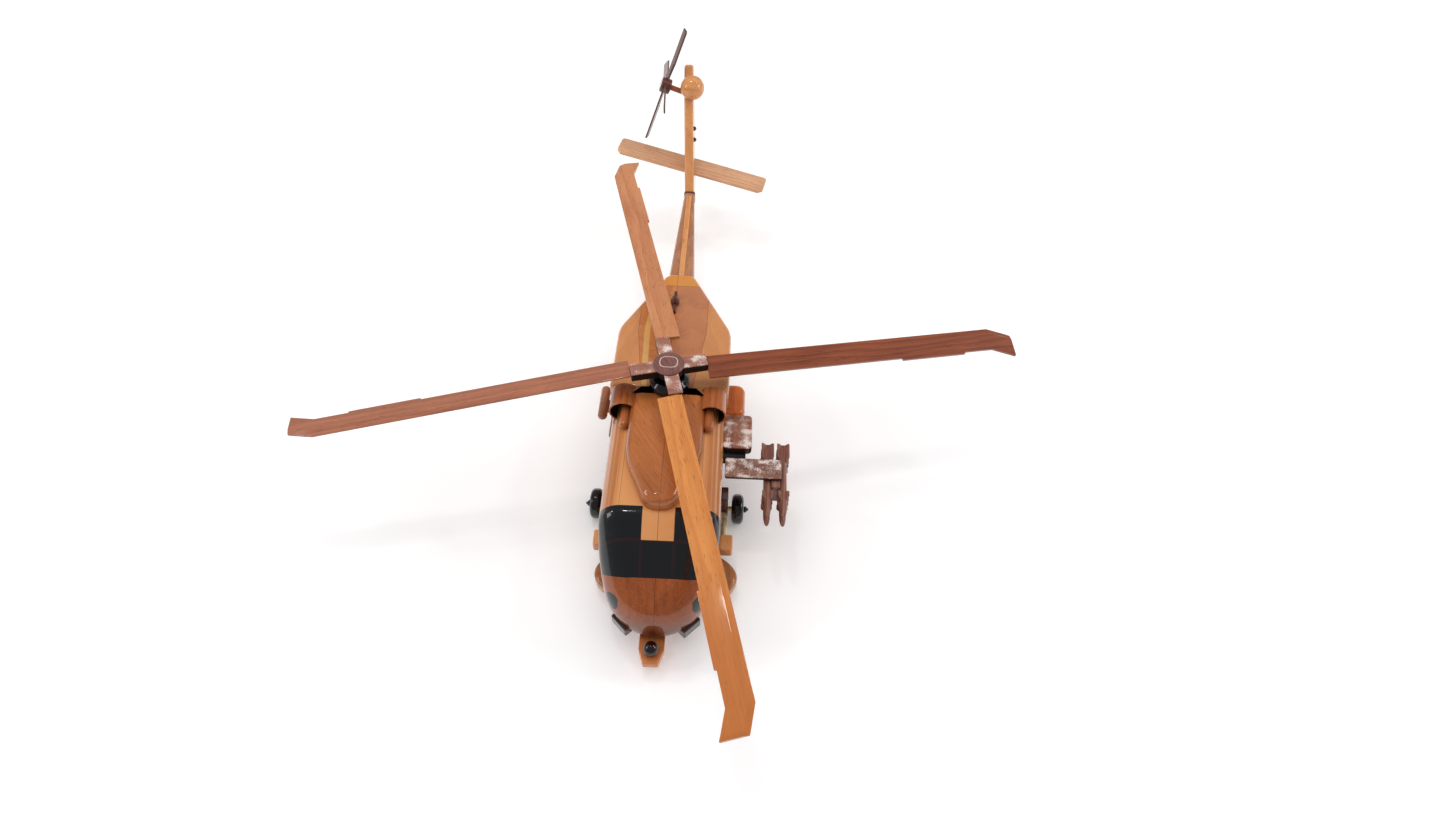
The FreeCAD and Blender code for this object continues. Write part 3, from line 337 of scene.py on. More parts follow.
def loft(stations: Points, half_only: int = 0, arc: int = 9, side: int = 5) -> Surface:
    """A skin through rounded-rectangle sections across Y.

    A section's corner point at angle a is (half - corner + corner cos a, centre height + corner sin a).

    Args:
        stations: rows of y, half width, low, high and corner radius.
        half_only: 1 for the port half, -1 for the starboard half, 0 for the whole.
        arc: chords in each corner.
        side: extra points on each flat.

    Returns:
        The lofted piece, grain along Y.
    """
    y, half, low, high, corner = stations.T[:, :, None]
    turn = np.linspace(0, np.pi / 2, arc + 1)
    share = np.linspace(0, 1, side + 2)[1:-1]
    foot_x, foot_z = half - corner + corner * np.sin(turn), low + corner - corner * np.cos(turn)
    head_x, head_z = half - corner + corner * np.cos(turn), high - corner + corner * np.sin(turn)
    zero = 0 * half
    x = np.hstack((zero, (half - corner) * share, foot_x, half + 0 * share, head_x,
                   (half - corner) * share[::-1], zero))
    z = np.hstack((low, low + 0 * share, foot_z, low + corner + (high - low - 2 * corner) * share, head_z,
                   high + 0 * share, high))
    if half_only:
        x = x * half_only
    else:
        x, z = np.hstack((x, -x[:, -2:0:-1])), np.hstack((z, z[:, -2:0:-1]))
    return skin(np.stack((x, y + 0 * x, z), axis=-1)).cut_along(1)


# ---------------------------------------------------------------- finishes
def tint(red: int, green: int, blue: int) -> tuple[float, float, float, float]:
    """A display colour of 0 to 255 as the linear colour that a shader takes."""
    share = np.array((red, green, blue)) / 255
    linear = np.where(share <= 0.04045, share / 12.92, ((share + 0.055) / 1.055) ** 2.4)
    return (*linear.tolist(), 1.0)


class Signal:
    """A number or colour that varies over a surface; arithmetic on it adds Math nodes."""

    def __init__(self, bench: "Bench", socket: bpy.types.NodeSocket) -> None:
        """Wrap the output socket of a node on a bench."""
        self.bench, self.socket = bench, socket

    def _math(self, operation: str, first: "Signal | float", second: "Signal | float" = 0.0) -> "Signal":
        """One Math node."""
        return self.bench.node("ShaderNodeMath", {"operation": operation}, {0: first, 1: second})

    def __add__(self, other: "Signal | float") -> "Signal":
        """Sum."""
        return self._math("ADD", self, other)

    __radd__ = __add__

    def __sub__(self, other: "Signal | float") -> "Signal":
        """Difference."""
        return self._math("SUBTRACT", self, other)

    def __rsub__(self, other: "Signal | float") -> "Signal":
        """Difference, the other way round."""
        return self._math("SUBTRACT", other, self)

    def __mul__(self, other: "Signal | float") -> "Signal":
        """Product."""
        return self._math("MULTIPLY", self, other)

    __rmul__ = __mul__

    def __truediv__(self, other: "Signal | float") -> "Signal":
        """Quotient."""
        return self._math("DIVIDE", self, other)

    def __rtruediv__(self, other: "Signal | float") -> "Signal":
        """Quotient, the other way round."""
        return self._math("DIVIDE", other, self)

    def __pow__(self, other: "Signal | float") -> "Signal":
        """Power."""
        return self._math("POWER", self, other)

    def __abs__(self) -> "Signal":
        """Size without sign."""
        return self._math("ABSOLUTE", self)

    def at_most(self, other: "Signal | float") -> "Signal":
        """The lesser of two."""
        return self._math("MINIMUM", self, other)

    def at_least(self, other: "Signal | float") -> "Signal":
        """The greater of two."""
        return self._math("MAXIMUM", self, other)

    def fraction(self) -> "Signal":
        """What is left above the whole number."""
        return self._math("FRACT", self)

    def root(self) -> "Signal":
        """Square root."""
        return self._math("SQRT", self)

    def rise(self, start: float, stop: float) -> "Signal":
        """0 below start and 1 above stop, with a smooth step between; falling if stop is the lower."""
        return self.bench.node("ShaderNodeMapRange", {"interpolation_type": "SMOOTHSTEP"},
                               {"Value": self, "From Min": start, "From Max": stop})


class Bench:
    """A material being made, with a gloss shader ready for its finish."""

    def __init__(self, name: str) -> None:
        """Start an empty material with an output and a shader."""
        self.material = bpy.data.materials.new(name)
        self.material.use_nodes = True
        self.tree = self.material.node_tree
        self.shader = self.tree.nodes["Principled BSDF"]

    def node(self, kind: str, settings: dict | None = None, inputs: dict | None = None,
             output: int | str = 0) -> Signal:
        """Add a node: its settings first, then the values or links of its sockets.

        Args:
            kind: the node's type.
            settings: its properties.
            inputs: socket name or number to a value or a Signal.
            output: the socket to hand back.

        Returns:
            The wanted output.
        """
        made = self.tree.nodes.new(kind)
        for key, value in (settings or {}).items():
            setattr(made, key, value)
        for key, value in (inputs or {}).items():
            self.feed(made.inputs[key], value)
        return Signal(self, made.outputs[output])

    def feed(self, socket: bpy.types.NodeSocket, value: object) -> None:
        """Link a Signal to a socket, or set a plain value on it."""
        if isinstance(value, Signal):
            self.tree.links.new(value.socket, socket)
        else:
            socket.default_value = value

    def mix(self, share: Signal | float, first: object, second: object) -> Signal:
        """A colour between two, by a share from 0 to 1."""
        return self.node("ShaderNodeMix", {"data_type": "RGBA"},
                         {0: share, 6: first, 7: second}, 2)

    def vector(self, x: object, y: object, z: object) -> Signal:
        """Three numbers as one vector."""
        return self.node("ShaderNodeCombineXYZ", None, {0: x, 1: y, 2: z})

    def parts(self, vector: Signal) -> tuple[Signal, Signal, Signal]:
        """A vector's three numbers."""
        split = self.node("ShaderNodeSeparateXYZ", None, {0: vector}).socket.node
        return tuple(Signal(self, split.outputs[index]) for index in range(3))

    def stretched(self, vector: Signal, scale: tuple[float, float, float]) -> Signal:
        """A vector multiplied axis by axis."""
        return self.node("ShaderNodeVectorMath", {"operation": "MULTIPLY"}, {0: vector, 1: scale})

    def noise(self, vector: Signal, scale: tuple[float, float, float], detail: float = 2.0,
              rough: float = 0.5) -> Signal:
        """Soft noise of 0 to 1 on a vector that is stretched first."""
        return self.node("ShaderNodeTexNoise", {"normalize": True},
                         {"Vector": self.stretched(vector, scale), "Scale": 1.0, "Detail": detail,
                          "Roughness": rough})

    def plank(self) -> Signal:
        """The place in the plank, in millimetres with X along the grain."""
        return self.node("ShaderNodeAttribute", {"attribute_name": "grain"}, None, "Vector")

    def spot(self) -> tuple[Signal, Signal, Signal]:
        """The place on the model, in millimetres about the mast."""
        place = self.node("ShaderNodeTexCoord", None, None, "Object")
        x, y, z = self.parts(self.stretched(place, (1 / MM,) * 3))
        return x, y - MAST_Y, z

    def finish(self, colour: Signal, roughness: Signal | float, height: Signal | None = None,
               relief: float = 0.02, metallic: float = 0.0, coat: float = 0.0,
               coat_roughness: float = 0.05, ior: float = 1.25) -> bpy.types.Material:
        """Join the pattern to the shader.

        Args:
            colour: base colour.
            roughness: base roughness.
            height: bump height of 0 to 1.
            relief: the bump's depth in millimetres.
            metallic: 1 for metal.
            coat: weight of the clear lacquer.
            coat_roughness: roughness of the lacquer.
            ior: refraction of the base.

        Returns:
            The finished material.
        """
        sockets = self.shader.inputs
        for key, value in (("Base Color", colour), ("Roughness", roughness), ("Metallic", metallic),
                           ("Coat Weight", coat), ("Coat Roughness", coat_roughness), ("IOR", ior)):
            self.feed(sockets[key], value)
        if height is not None:
            bump = self.node("ShaderNodeBump", None,
                             {"Height": height, "Distance": relief * MM, "Strength": 1.0})
            self.feed(sockets["Normal"], bump)
        return self.material


class Slot(Enum):
    """The record's material slots."""

    MAHOGANY = "mahogany"
    BLADE = "blade_wood"
    ROSEWOOD = "rosewood"
    PLUG = "plug_wood"
    BLACK = "black_lacquer"
    BRASS = "brass_rod"


@dataclass(frozen=True)
class Wood:
    """A hardwood under lacquer: growth rings cut by the plank's faces, fibres, pores and a broad figure."""

    name: str
    slot: Slot
    light: tuple
    dark: tuple
    pore: tuple = tint(58, 26, 14)
    ring: float = 3.4
    heart: tuple[float, float] = (17.0, 9.0)
    wander: float = 0.7
    rings: float = 0.32
    contrast: float = 0.75
    roughness: float = 0.36
    coat: float = 0.85
    # share of painted shade towards the outer end
    outer_shade: float = 0.0

    def pattern(self, bench: Bench, plank: Signal) -> tuple[Signal, Signal]:
        """The wood's colour and its pore height.

        The ring number is (distance from the heart + wandering noise) / ring; its fraction rises
        slowly through the early wood and drops at the dark late wood.

        Args:
            bench: the material being made.
            plank: the place in the plank, X along the grain.

        Returns:
            The colour, and a height of 0 in the pores and 1 between them.
        """
        _, across, through = bench.parts(plank)
        drift = bench.noise(plank, (0.016, 0.07, 0.07), 2.0) - 0.5
        distance = ((across + self.heart[0]) ** 2.0 + (through + self.heart[1]) ** 2.0).root()
        ring = ((distance + drift * self.wander * 8) / self.ring).fraction()
        late = ring.rise(0.15, 0.9) * (1 - ring.rise(0.93, 1.0))
        fibre = bench.noise(plank, (0.035, 1.5, 1.5), 3.0, 0.6)
        figure = bench.noise(plank, (0.03, 0.11, 0.11), 2.0)
        fleck = bench.noise(plank, (0.22, 2.6, 2.6), 1.0).rise(0.6, 0.72)
        share = (late - 0.4) * self.rings + fibre * 0.85 + figure * 0.75 - 0.35
        body = bench.mix((share * self.contrast + (0.5 - self.contrast / 2)).at_most(1.0).at_least(0.0),
                         self.light, self.dark)
        return bench.mix(fleck * 0.38, body, self.pore), 1 - fleck

    def colour(self, bench: Bench) -> tuple[Signal, Signal]:
        """The finish's colour and height; finishes with more to show build on this."""
        plank = bench.plank()
        wood, height = self.pattern(bench, plank)
        along = bench.parts(plank)[0]
        # painted shade: the wood darkens towards the piece's outer end, 70 to 125 mm along the grain
        return (bench.mix(along.rise(70.0, 125.0) * self.outer_shade, wood, self.dark) if self.outer_shade else wood), height

    def material(self) -> bpy.types.Material:
        """Make the material."""
        bench = Bench(self.name)
        colour, height = self.colour(bench)
        x, y, z = bench.spot()
        peel = bench.noise(bench.vector(x, y, z), (0.55, 0.55, 0.55), 2.0)
        rough = self.roughness + (peel - 0.5) * 0.1
        return bench.finish(colour, rough, height * 0.5 + peel * 0.5, 0.03, coat=self.coat)


@dataclass(frozen=True)
class HullWood(Wood):
    """The fuselage's wood: a book-matched top, straight strips down the sides, painted windows, and painted shade
    low on the flanks.
    """

    seam: float = 0.16
    top_half: float = 17.6
    slant: float = 38.0
    window_front: float = -90.2
    window_edge: float = -77.5
    window_back: float = -64.2
    post: float = 7.0
    strip: tuple = tint(236, 166, 104)
    # painted shade colour for the lower flanks
    under: tuple = tint(66, 26, 16)
    paint: tuple = tint(9, 11, 17)
    frame: tuple = tint(36, 12, 16)

    def colour(self, bench: Bench) -> tuple[Signal, Signal]:
        """Wood, window paint and painted shade laid out by the place on the model."""
        x, y, z = bench.spot()
        out = abs(x)
        lean, run = np.sin(np.radians(self.slant)), np.cos(np.radians(self.slant))
        matched = bench.vector(y * run + out * lean, out * run - y * lean, z + x.rise(-0.1, 0.1) * 31)
        straight = bench.vector(y, x, z + 60)
        side = out.rise(self.top_half - 0.1, self.top_half + 0.1) * y.rise(-67.5, -66.5)
        top_wood, top_height = self.pattern(bench, matched)
        side_wood, side_height = self.pattern(bench, straight)
        stripes = bench.noise(bench.vector(y, out, z), (0.004, 0.42, 0.3), 1.0).rise(0.42, 0.62)
        side_wood = bench.mix(stripes * 0.5 + 0.35, side_wood, self.strip)
        wood = bench.mix(side, top_wood, side_wood)
        roof = y.rise(-78.5, -77.5) * (1 - side) * 0.8
        wood = bench.mix(roof, wood, self.strip)
        # painted shade: the hull darkens towards the bottom, from 34 mm down to 15 mm
        low = z.rise(34.0, 15.0) * 0.8
        wood = bench.mix(low, wood, self.under)
        joint = (1 - out.rise(self.seam * 0.4, self.seam)) + (1 - abs(out - self.top_half).rise(0.05, 0.22)) \
            * y.rise(-66.0, -65.0) * 0.6
        wood = bench.mix(joint.at_most(1.0) * 0.7, wood, self.pore)
        height = top_height * (1 - side) + side_height * side
        paint, rail = self.windows(x, y, z, out)
        wood = bench.mix(paint, wood, self.paint)
        wood = bench.mix(rail * paint, wood, self.frame)
        return wood, height + paint

    def windows(self, x: Signal, y: Signal, z: Signal, out: Signal) -> tuple[Signal, Signal]:
        """Where the paint is, and where the thin red frame lines cross it.

        The windscreen lies between two planes across the nose, the lower one leaning as y + 0.74 z; the
        eyebrow and side windows go on behind it outside the centre post; the chin windows are ovals.
        """
        soft = 0.12
        sill = (y + z * 0.74).rise(-59.1 - soft, -59.1 + soft) * y.rise(self.window_front - soft,
                                                                      self.window_front + soft)
        screen = sill * y.rise(self.window_edge + soft, self.window_edge - soft)
        brow = y.rise(self.window_edge - soft, self.window_edge + soft) \
            * y.rise(self.window_back + soft, self.window_back - soft) \
            * out.rise(self.post - soft, self.post + soft) * z.rise(36.0 - soft, 36.0 + soft)
        reach = (((y + 94.8) / 3.4) ** 2.0 + ((z - 30.0) / 4.4) ** 2.0).root()
        chin = reach.rise(1.03, 0.97) * out.rise(15.9, 16.2)
        paint = (screen + brow + chin).at_most(1.0)
        posts = abs(out - self.post).rise(0.75, 0.5) * screen
        edge = abs(y - self.window_edge).rise(0.7, 0.45)
        return paint, (posts * 0.8 + edge).at_most(1.0)


@dataclass(frozen=True)
class FairingWood(Wood):
    """The fairing's wood: one slanting plank each side of a fine seam, with painted shade on its rounded sides."""

    slant: float = 33.0

    def colour(self, bench: Bench) -> tuple[Signal, Signal]:
        """A plank on each side of the centre line, its grain slanting forward and out, darkened as painted shade
        towards the sides.
        """
        x, y, z = bench.spot()
        lean, run = np.sin(np.radians(self.slant)), np.cos(np.radians(self.slant))
        plank = bench.vector(y * run - x * lean, x * run + y * lean, z * 1.4 + x.rise(-0.1, 0.1) * 17)
        wood, height = self.pattern(bench, plank)
        # painted shade: the wood darkens towards the rounded sides, from 13 to 16.5 mm out
        edge = abs(x).rise(13.0, 16.5) * 0.35
        wood = bench.mix(edge, wood, self.dark)
        seam = 1 - abs(x - 0.4).rise(0.06, 0.2)
        return bench.mix(seam * 0.45, wood, self.pore), height


@dataclass(frozen=True)
class DeckWood(Wood):
    """The rear deck's wood: book-matched planks between tan edge strips, and a yellow tip."""

    tip: float = 76.5
    strip: float = 17.0
    tan: tuple = tint(232, 166, 108)
    pink: tuple = tint(186, 124, 92)
    gold: tuple = tint(226, 150, 62)

    def colour(self, bench: Bench) -> tuple[Signal, Signal]:
        """Strips laid out by the place on the model."""
        x, y, z = bench.spot()
        out = abs(x + 1.2)
        port = x.rise(-1.3, -1.1)
        slanted = bench.vector(y * 0.82 + out * 0.57, out * 0.82 - y * 0.57, z * 2 + port * 43)
        wood, height = self.pattern(bench, slanted)
        wood = bench.mix(port * 0.5, wood, self.pink)
        bound = self.strip + (y - 40.0).at_most(0.0) * 0.12
        edge = (out - bound).rise(-0.12, 0.12)
        straight, _ = self.pattern(bench, bench.vector(y * 0.9 - out * 0.4, out * 0.9 + y * 0.4, z + 70))
        wood = bench.mix(edge, wood, bench.mix(0.35, straight, self.tan))
        sliver = abs(out - bound + 3.6 + (y - 30) * 0.08).rise(1.5, 1.3) * (1 - port)
        wood = bench.mix(sliver * 0.6, wood, tint(236, 190, 110))
        beyond = y.rise(self.tip - 0.12, self.tip + 0.12)
        wood = bench.mix(beyond * 0.75, wood, self.gold)
        lines = (1 - out.rise(0.06, 0.2)) + (1 - abs(out - bound).rise(0.06, 0.2)) \
            + (1 - abs(y - self.tip).rise(0.08, 0.22))
        return bench.mix(lines.at_most(1.0) * 0.5, wood, self.pore), height


@dataclass(frozen=True)
class GlintAndShadeWood(Wood):
    """Wood whose lacquered top carries painted highlights, pale glints in ragged clusters, over sides painted dark
    as shade.
    """

    top: float = 78.6
    glint: tuple = tint(246, 232, 226)
    glint_cover: float = 0.5
    # painted shade colour for the sides below the top
    side: tuple = tint(22, 18, 20)

    def colour(self, bench: Bench) -> tuple[Signal, Signal]:
        """Painted highlights in ragged clusters on top, painted shade in one dark tone down the sides."""
        x, y, z = bench.spot()
        wood, height = self.pattern(bench, bench.plank())
        place = bench.vector(x, y, z)
        grain = bench.noise(place, (2.1, 3.0, 2.4), 2.0, 0.8)
        cluster = bench.noise(place, (0.2, 0.26, 0.2), 1.0)
        # painted highlights: pale specks stand for glints of the overhead lamp in the bumpy lacquer
        specks = (grain + (cluster - 0.5) * 0.8).rise(0.6 - self.glint_cover * 0.12, 0.68 - self.glint_cover * 0.08)
        wood = bench.mix(specks * 0.85, wood, self.glint)
        # painted shade: below the top face, the sides take one dark tone
        below = z.rise(self.top + 0.1, self.top - 0.1)
        return bench.mix(below, wood, self.side), height


@dataclass(frozen=True)
class CapWood(Wood):
    """The hub cap's wood, with a painted highlight: a pale ring round its flat."""

    highlight_radius: float = 3.5

    def colour(self, bench: Bench) -> tuple[Signal, Signal]:
        """Dark wood with a painted highlight, a thin pale ring at the flat's edge."""
        x, y, z = bench.spot()
        wood, height = self.pattern(bench, bench.plank())
        radius = ((abs(x) / 1.15) ** 3.0 + (abs(y) / 0.92) ** 3.0) ** 0.3333
        # painted highlight: the pale ring where the flat's rim catches the light
        ring = abs(radius - self.highlight_radius).rise(0.3, 0.12) * z.rise(79.6, 80.2)
        return bench.mix(ring * 0.8, wood, tint(226, 200, 190)), height


@dataclass(frozen=True)
class Lacquer:
    """Opaque gloss lacquer with a faint brushed unevenness and a little dust."""

    name: str
    slot: Slot
    tone: tuple
    dust: tuple = tint(70, 70, 78)

    def material(self) -> bpy.types.Material:
        """Make the material."""
        bench = Bench(self.name)
        place = bench.vector(*bench.spot())
        cloud = bench.noise(place, (0.18, 0.18, 0.18), 3.0)
        specks = bench.noise(place, (2.1, 2.1, 2.1), 1.0).rise(0.7, 0.8)
        colour = bench.mix(cloud.rise(0.45, 0.9) * 0.12 + specks * 0.08, self.tone, self.dust)
        peel = bench.noise(place, (0.7, 0.7, 0.7), 2.0)
        return bench.finish(colour, 0.18 + cloud * 0.16, peel, 0.04, coat=0.8)


@dataclass(frozen=True)
class Brass:
    """Dulled brass rod with drawing lines and brown tarnish."""

    name: str
    slot: Slot
    bright: tuple = tint(244, 226, 176)
    tarnish: tuple = tint(186, 156, 96)

    def material(self) -> bpy.types.Material:
        """Make the material."""
        bench = Bench(self.name)
        place = bench.vector(*bench.spot())
        cloud = bench.noise(place, (0.25, 0.25, 0.25), 4.0, 0.65)
        lines = bench.noise(place, (3.0, 0.15, 3.0), 2.0)
        colour = bench.mix(cloud.rise(0.35, 0.75), self.bright, self.tarnish)
        return bench.finish(colour, 0.3 + cloud * 0.25, lines, 0.015, metallic=0.6)


HULL = HullWood("hull_mahogany", Slot.MAHOGANY, tint(188, 98, 42), tint(96, 42, 20), ring=2.2, wander=0.5,
                rings=0.14)
FAIRING = FairingWood("fairing_mahogany", Slot.MAHOGANY, tint(206, 124, 66), tint(134, 70, 34), ring=2.8,
                      wander=0.6)
DECK = DeckWood("deck_mahogany", Slot.MAHOGANY, tint(224, 148, 88), tint(160, 92, 54), contrast=0.6)
MAHOGANY = Wood("mahogany", Slot.MAHOGANY, tint(204, 118, 62), tint(128, 62, 32))
ORANGE = Wood("orange_mahogany", Slot.MAHOGANY, tint(238, 128, 52), tint(156, 70, 28))
RADOME = Wood("radome_mahogany", Slot.MAHOGANY, tint(196, 126, 72), tint(124, 70, 40), wander=0.8)
GOLDEN = Wood("golden_mahogany", Slot.MAHOGANY, tint(232, 146, 86), tint(172, 96, 54), contrast=0.6)
PALE = Wood("pale_mahogany", Slot.MAHOGANY, tint(246, 176, 112), tint(196, 124, 72), contrast=0.6)
BOOM = Wood("boom_mahogany", Slot.MAHOGANY, tint(208, 148, 108), tint(142, 88, 62), ring=2.1)
STABILATOR = Wood("stabilator_wood", Slot.MAHOGANY, tint(242, 192, 150), tint(188, 132, 98), ring=1.9,
                  contrast=0.7)
# Four tones of one blade wood, painted for the light: the aft blade paler for its sheen, the port blade darker for
# its shade
BLADE_WOODS_AS_LIT = {
    "port": Wood("blade_port_wood", Slot.BLADE, tint(164, 86, 52), tint(98, 46, 30), ring=2.3, contrast=0.9,
                 heart=(11.0, 5.0)),
    "aft": Wood("blade_aft_wood", Slot.BLADE, tint(226, 156, 108), tint(174, 104, 66), ring=2.9,
                contrast=0.7, heart=(9.0, 7.0)),
    "starboard": Wood("blade_starboard_wood", Slot.BLADE, tint(196, 126, 94), tint(138, 80, 60), ring=2.5,
                      contrast=0.7, heart=(13.0, 4.0)),
    "front": Wood("blade_front_wood", Slot.BLADE, tint(238, 158, 84), tint(188, 106, 48), ring=3.1,
                  contrast=0.7, heart=(15.0, 6.0), outer_shade=0.75),
}
ROSEWOOD = Wood("rosewood", Slot.ROSEWOOD, tint(170, 120, 104), tint(86, 46, 40), tint(40, 16, 16), ring=1.7,
                contrast=0.9, roughness=0.22, coat=0.3)
DARK = Wood("dark_rosewood", Slot.ROSEWOOD, tint(124, 74, 62), tint(58, 26, 22), tint(30, 12, 12), ring=1.5)
# hub, pylon and box: painted highlights on their tops, painted shade down their sides
HUB = GlintAndShadeWood("hub_rosewood", Slot.ROSEWOOD, tint(190, 134, 114), tint(122, 72, 60), tint(58, 26, 24),
                   roughness=0.3, coat=0.2, glint_cover=0.35)
PYLON = GlintAndShadeWood("pylon_rosewood", Slot.ROSEWOOD, tint(160, 116, 98), tint(84, 48, 42), tint(58, 26, 24),
                     roughness=0.3, coat=0.2, glint_cover=0.75, top=45.9, side=tint(58, 40, 38))
BOX = GlintAndShadeWood("box_rosewood", Slot.ROSEWOOD, tint(170, 112, 84), tint(92, 48, 38), tint(58, 26, 24),
                   roughness=0.3, coat=0.2, glint_cover=0.8, top=49.4, side=tint(66, 34, 28))
CAP = CapWood("cap_rosewood", Slot.ROSEWOOD, tint(150, 104, 96), tint(92, 56, 52), tint(50, 24, 24),
              ring=1.6, roughness=0.3, coat=0.4)
HOIST = Wood("hoist_rosewood", Slot.ROSEWOOD, tint(196, 132, 98), tint(118, 72, 54), tint(48, 22, 20))
TURRET = Lacquer("turret_lacquer", Slot.BLACK, tint(30, 9, 10))
PLUG = Wood("plug_wood", Slot.PLUG, tint(216, 122, 46), tint(168, 82, 26), ring=0.9)
BLACK = Lacquer("black_lacquer", Slot.BLACK, tint(14, 14, 18))
NAVY = Lacquer("navy_lacquer", Slot.MAHOGANY, tint(16, 22, 38))
GREY = Lacquer("grey_brown_lacquer", Slot.BLACK, tint(62, 50, 48), tint(120, 100, 92))
BRASS = Brass("brass_rod", Slot.BRASS)
_materials: dict[str, bpy.types.Material] = {}


def material_of(finish: Wood | Lacquer | Brass) -> bpy.types.Material:
    """The finish's material, made once."""
    if finish.name not in _materials:
        _materials[finish.name] = finish.material()
    return _materials[finish.name]


def stand(name: str, surface: Surface, finish: Wood | Lacquer | Brass, *nodes: str,
          rides: str = "") -> bpy.types.Object:
    """Make a piece from a surface, dress it and let it stand for its CAD nodes.

    Args:
        name: the piece's name.
        surface: its skin, in millimetres about the mast.
        finish: what it is dressed in.
        nodes: the CAD nodes it stands for, all on one body.
        rides: the node whose body carries it, if it stands for none.

    Returns:
        The new piece, riding on the nodes' body.
    """
    mesh = bpy.data.meshes.new(name)
    mesh.from_pydata(((surface.points + (0.0, MAST_Y, 0.0)) * MM).tolist(), [], surface.faces)
    mesh.attributes.new("grain", "FLOAT_VECTOR", "POINT").data.foreach_set("vector", surface.grain.ravel())
    skinning = bmesh.new()
    skinning.from_mesh(mesh)
    bmesh.ops.remove_doubles(skinning, verts=skinning.verts, dist=0.002 * MM)
    bmesh.ops.recalc_face_normals(skinning, faces=skinning.faces)
    skinning.to_mesh(mesh)
    skinning.free()
    mesh.polygons.foreach_set("use_smooth", np.ones(len(mesh.polygons), bool))
    mesh.set_sharp_from_angle(angle=np.radians(34))
    piece = bpy.data.objects.new(name, mesh)
    bpy.context.scene.collection.objects.link(piece)
    mesh.materials.append(material_of(finish))
    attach(piece, frame["nodes"][rides or nodes[0]]["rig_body"])
    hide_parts(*nodes)
    log.info("%s: %d faces, %s", name, len(mesh.polygons), finish.name)
    return piece


def dress_node(node: str, finish: Wood | Lacquer | Brass) -> None:
    """Give a CAD node that keeps its shape a finish."""
    cad = frame["nodes"][node]
    cad.data.materials.clear()
    cad.data.materials.append(material_of(finish))
    log.info("%s keeps its CAD shape, %s", node, finish.name)


# ---------------------------------------------------------------- fuselage, fairing, deck
@dataclass
class Fuselage:
    """Two book-matched halves: a rounded nose, a straight cabin and a taper to the boom."""

    front: float = -66.0
    back: float = 45.0
    # ahead of the cabin's front, half width, low, high, corner radius
    nose: tuple = ((38.3, 0.6, 21.4, 22.6, 0.55), (38.2, 5.0, 17.5, 26.5, 4.4), (36.9, 10.4, 14.6, 31.5, 8.0),
                   (33.0, 16.6, 12.4, 36.4, 11.4), (26.5, 21.4, 10.7, 40.9, 13.2),
                   (18.5, 24.4, 9.7, 46.4, 13.4), (9.0, 26.1, 9.1, 54.0, 12.4))
    cabin: tuple = (26.6, 9.0, 58.4, 10.0)
    boom: tuple = (84.0, 7.5, 33.0, 50.0, 3.2)

    def stations(self) -> Points:
        """All sections: the nose flows through its stations by their spacing, the rest runs straight."""
        given = np.array([(self.front - ahead, *rest) for ahead, *rest in self.nose]
                         + [(self.front, *self.cabin), (self.front + 14, *self.cabin)])
        steps = np.linalg.norm(np.diff(given[:, [0, 1, 3]], axis=0), axis=1)
        knots = np.concatenate(([0.0], np.cumsum(steps)))
        at = np.unique(np.concatenate((np.linspace(0, knots[-1], 90), knots)))
        nose = np.column_stack([flowing(knots, column, at) for column in given.T])
        knee = [(self.back - 1.5, *self.cabin), (self.back, *self.cabin)]
        taper = np.linspace(knee[1], self.boom, 24)[1:]
        return np.vstack((nose, np.linspace(nose[-1], knee[0], 16)[1:], knee[1:], taper))

    def build(self) -> None:
        """Make both halves; they meet on the centre plane."""
        stations = self.stations()
        for side, way in (("port", 1), ("starboard", -1)):
            stand(f"fuselage_{side}_carving", loft(stations, way), HULL, f"fuselage_{side}")


@dataclass
class RotorFairing:
    """The round-nosed fairing ahead of the mast."""

    taper: float = 26.0
    shoulder: float = 40.0
    rim: float = 4.5
    sink: float = 1.0

    def build(self) -> None:
        """A board that tapers to a round nose, its upper rim rounded, sunk a little into the roof."""
        low, high = span("rotor_fairing")
        half, knee = high[0], low[1] + self.taper
        tip, nose = half * 0.36, half * 0.48
        corners = [(-tip, low[1]), (tip, low[1]), (half, knee), (half, high[1]), (-half, high[1]),
                   (-half, knee)]
        plan = eased(corners, [nose, nose, self.shoulder, 0.3, 0.3, self.shoulder], 14)
        carving = board(plan, Fuselage.cabin[2] - self.sink, high[2], self.rim, 0.2, steps=9)
        stand("rotor_fairing_carving", carving.cut_along(1), FAIRING, "rotor_fairing")


@dataclass
class RearDeck:
    """The boat-tailed deck that slopes from the mast down to the boom."""

    base: float = 50.0
    shoulder: float = 42.0
    tip_half: float = 7.0
    tip_drop: float = 8.5
    shoulder_round: float = 22.0
    tip_round: float = 6.0
    rim: float = 2.6

    def build(self) -> None:
        """A board whose top falls evenly from front to tip."""
        low, high = span("rear_deck")
        half, front, tip = high[0], low[1], high[1]
        corners = [(-half, front), (half, front), (half, self.shoulder), (self.tip_half, tip),
                   (-self.tip_half, tip), (-half, self.shoulder)]
        plan = eased(corners, [self.rim + 0.3] * 2 + [self.shoulder_round, self.tip_round, self.tip_round,
                                                      self.shoulder_round], 14)
        stand("rear_deck_carving",
              board(plan, self.base, high[2], self.rim, 0.3,
                    lambda x, y: -self.tip_drop * (y - front) / (tip - front), 8).cut_along(1),
              DECK, "rear_deck")


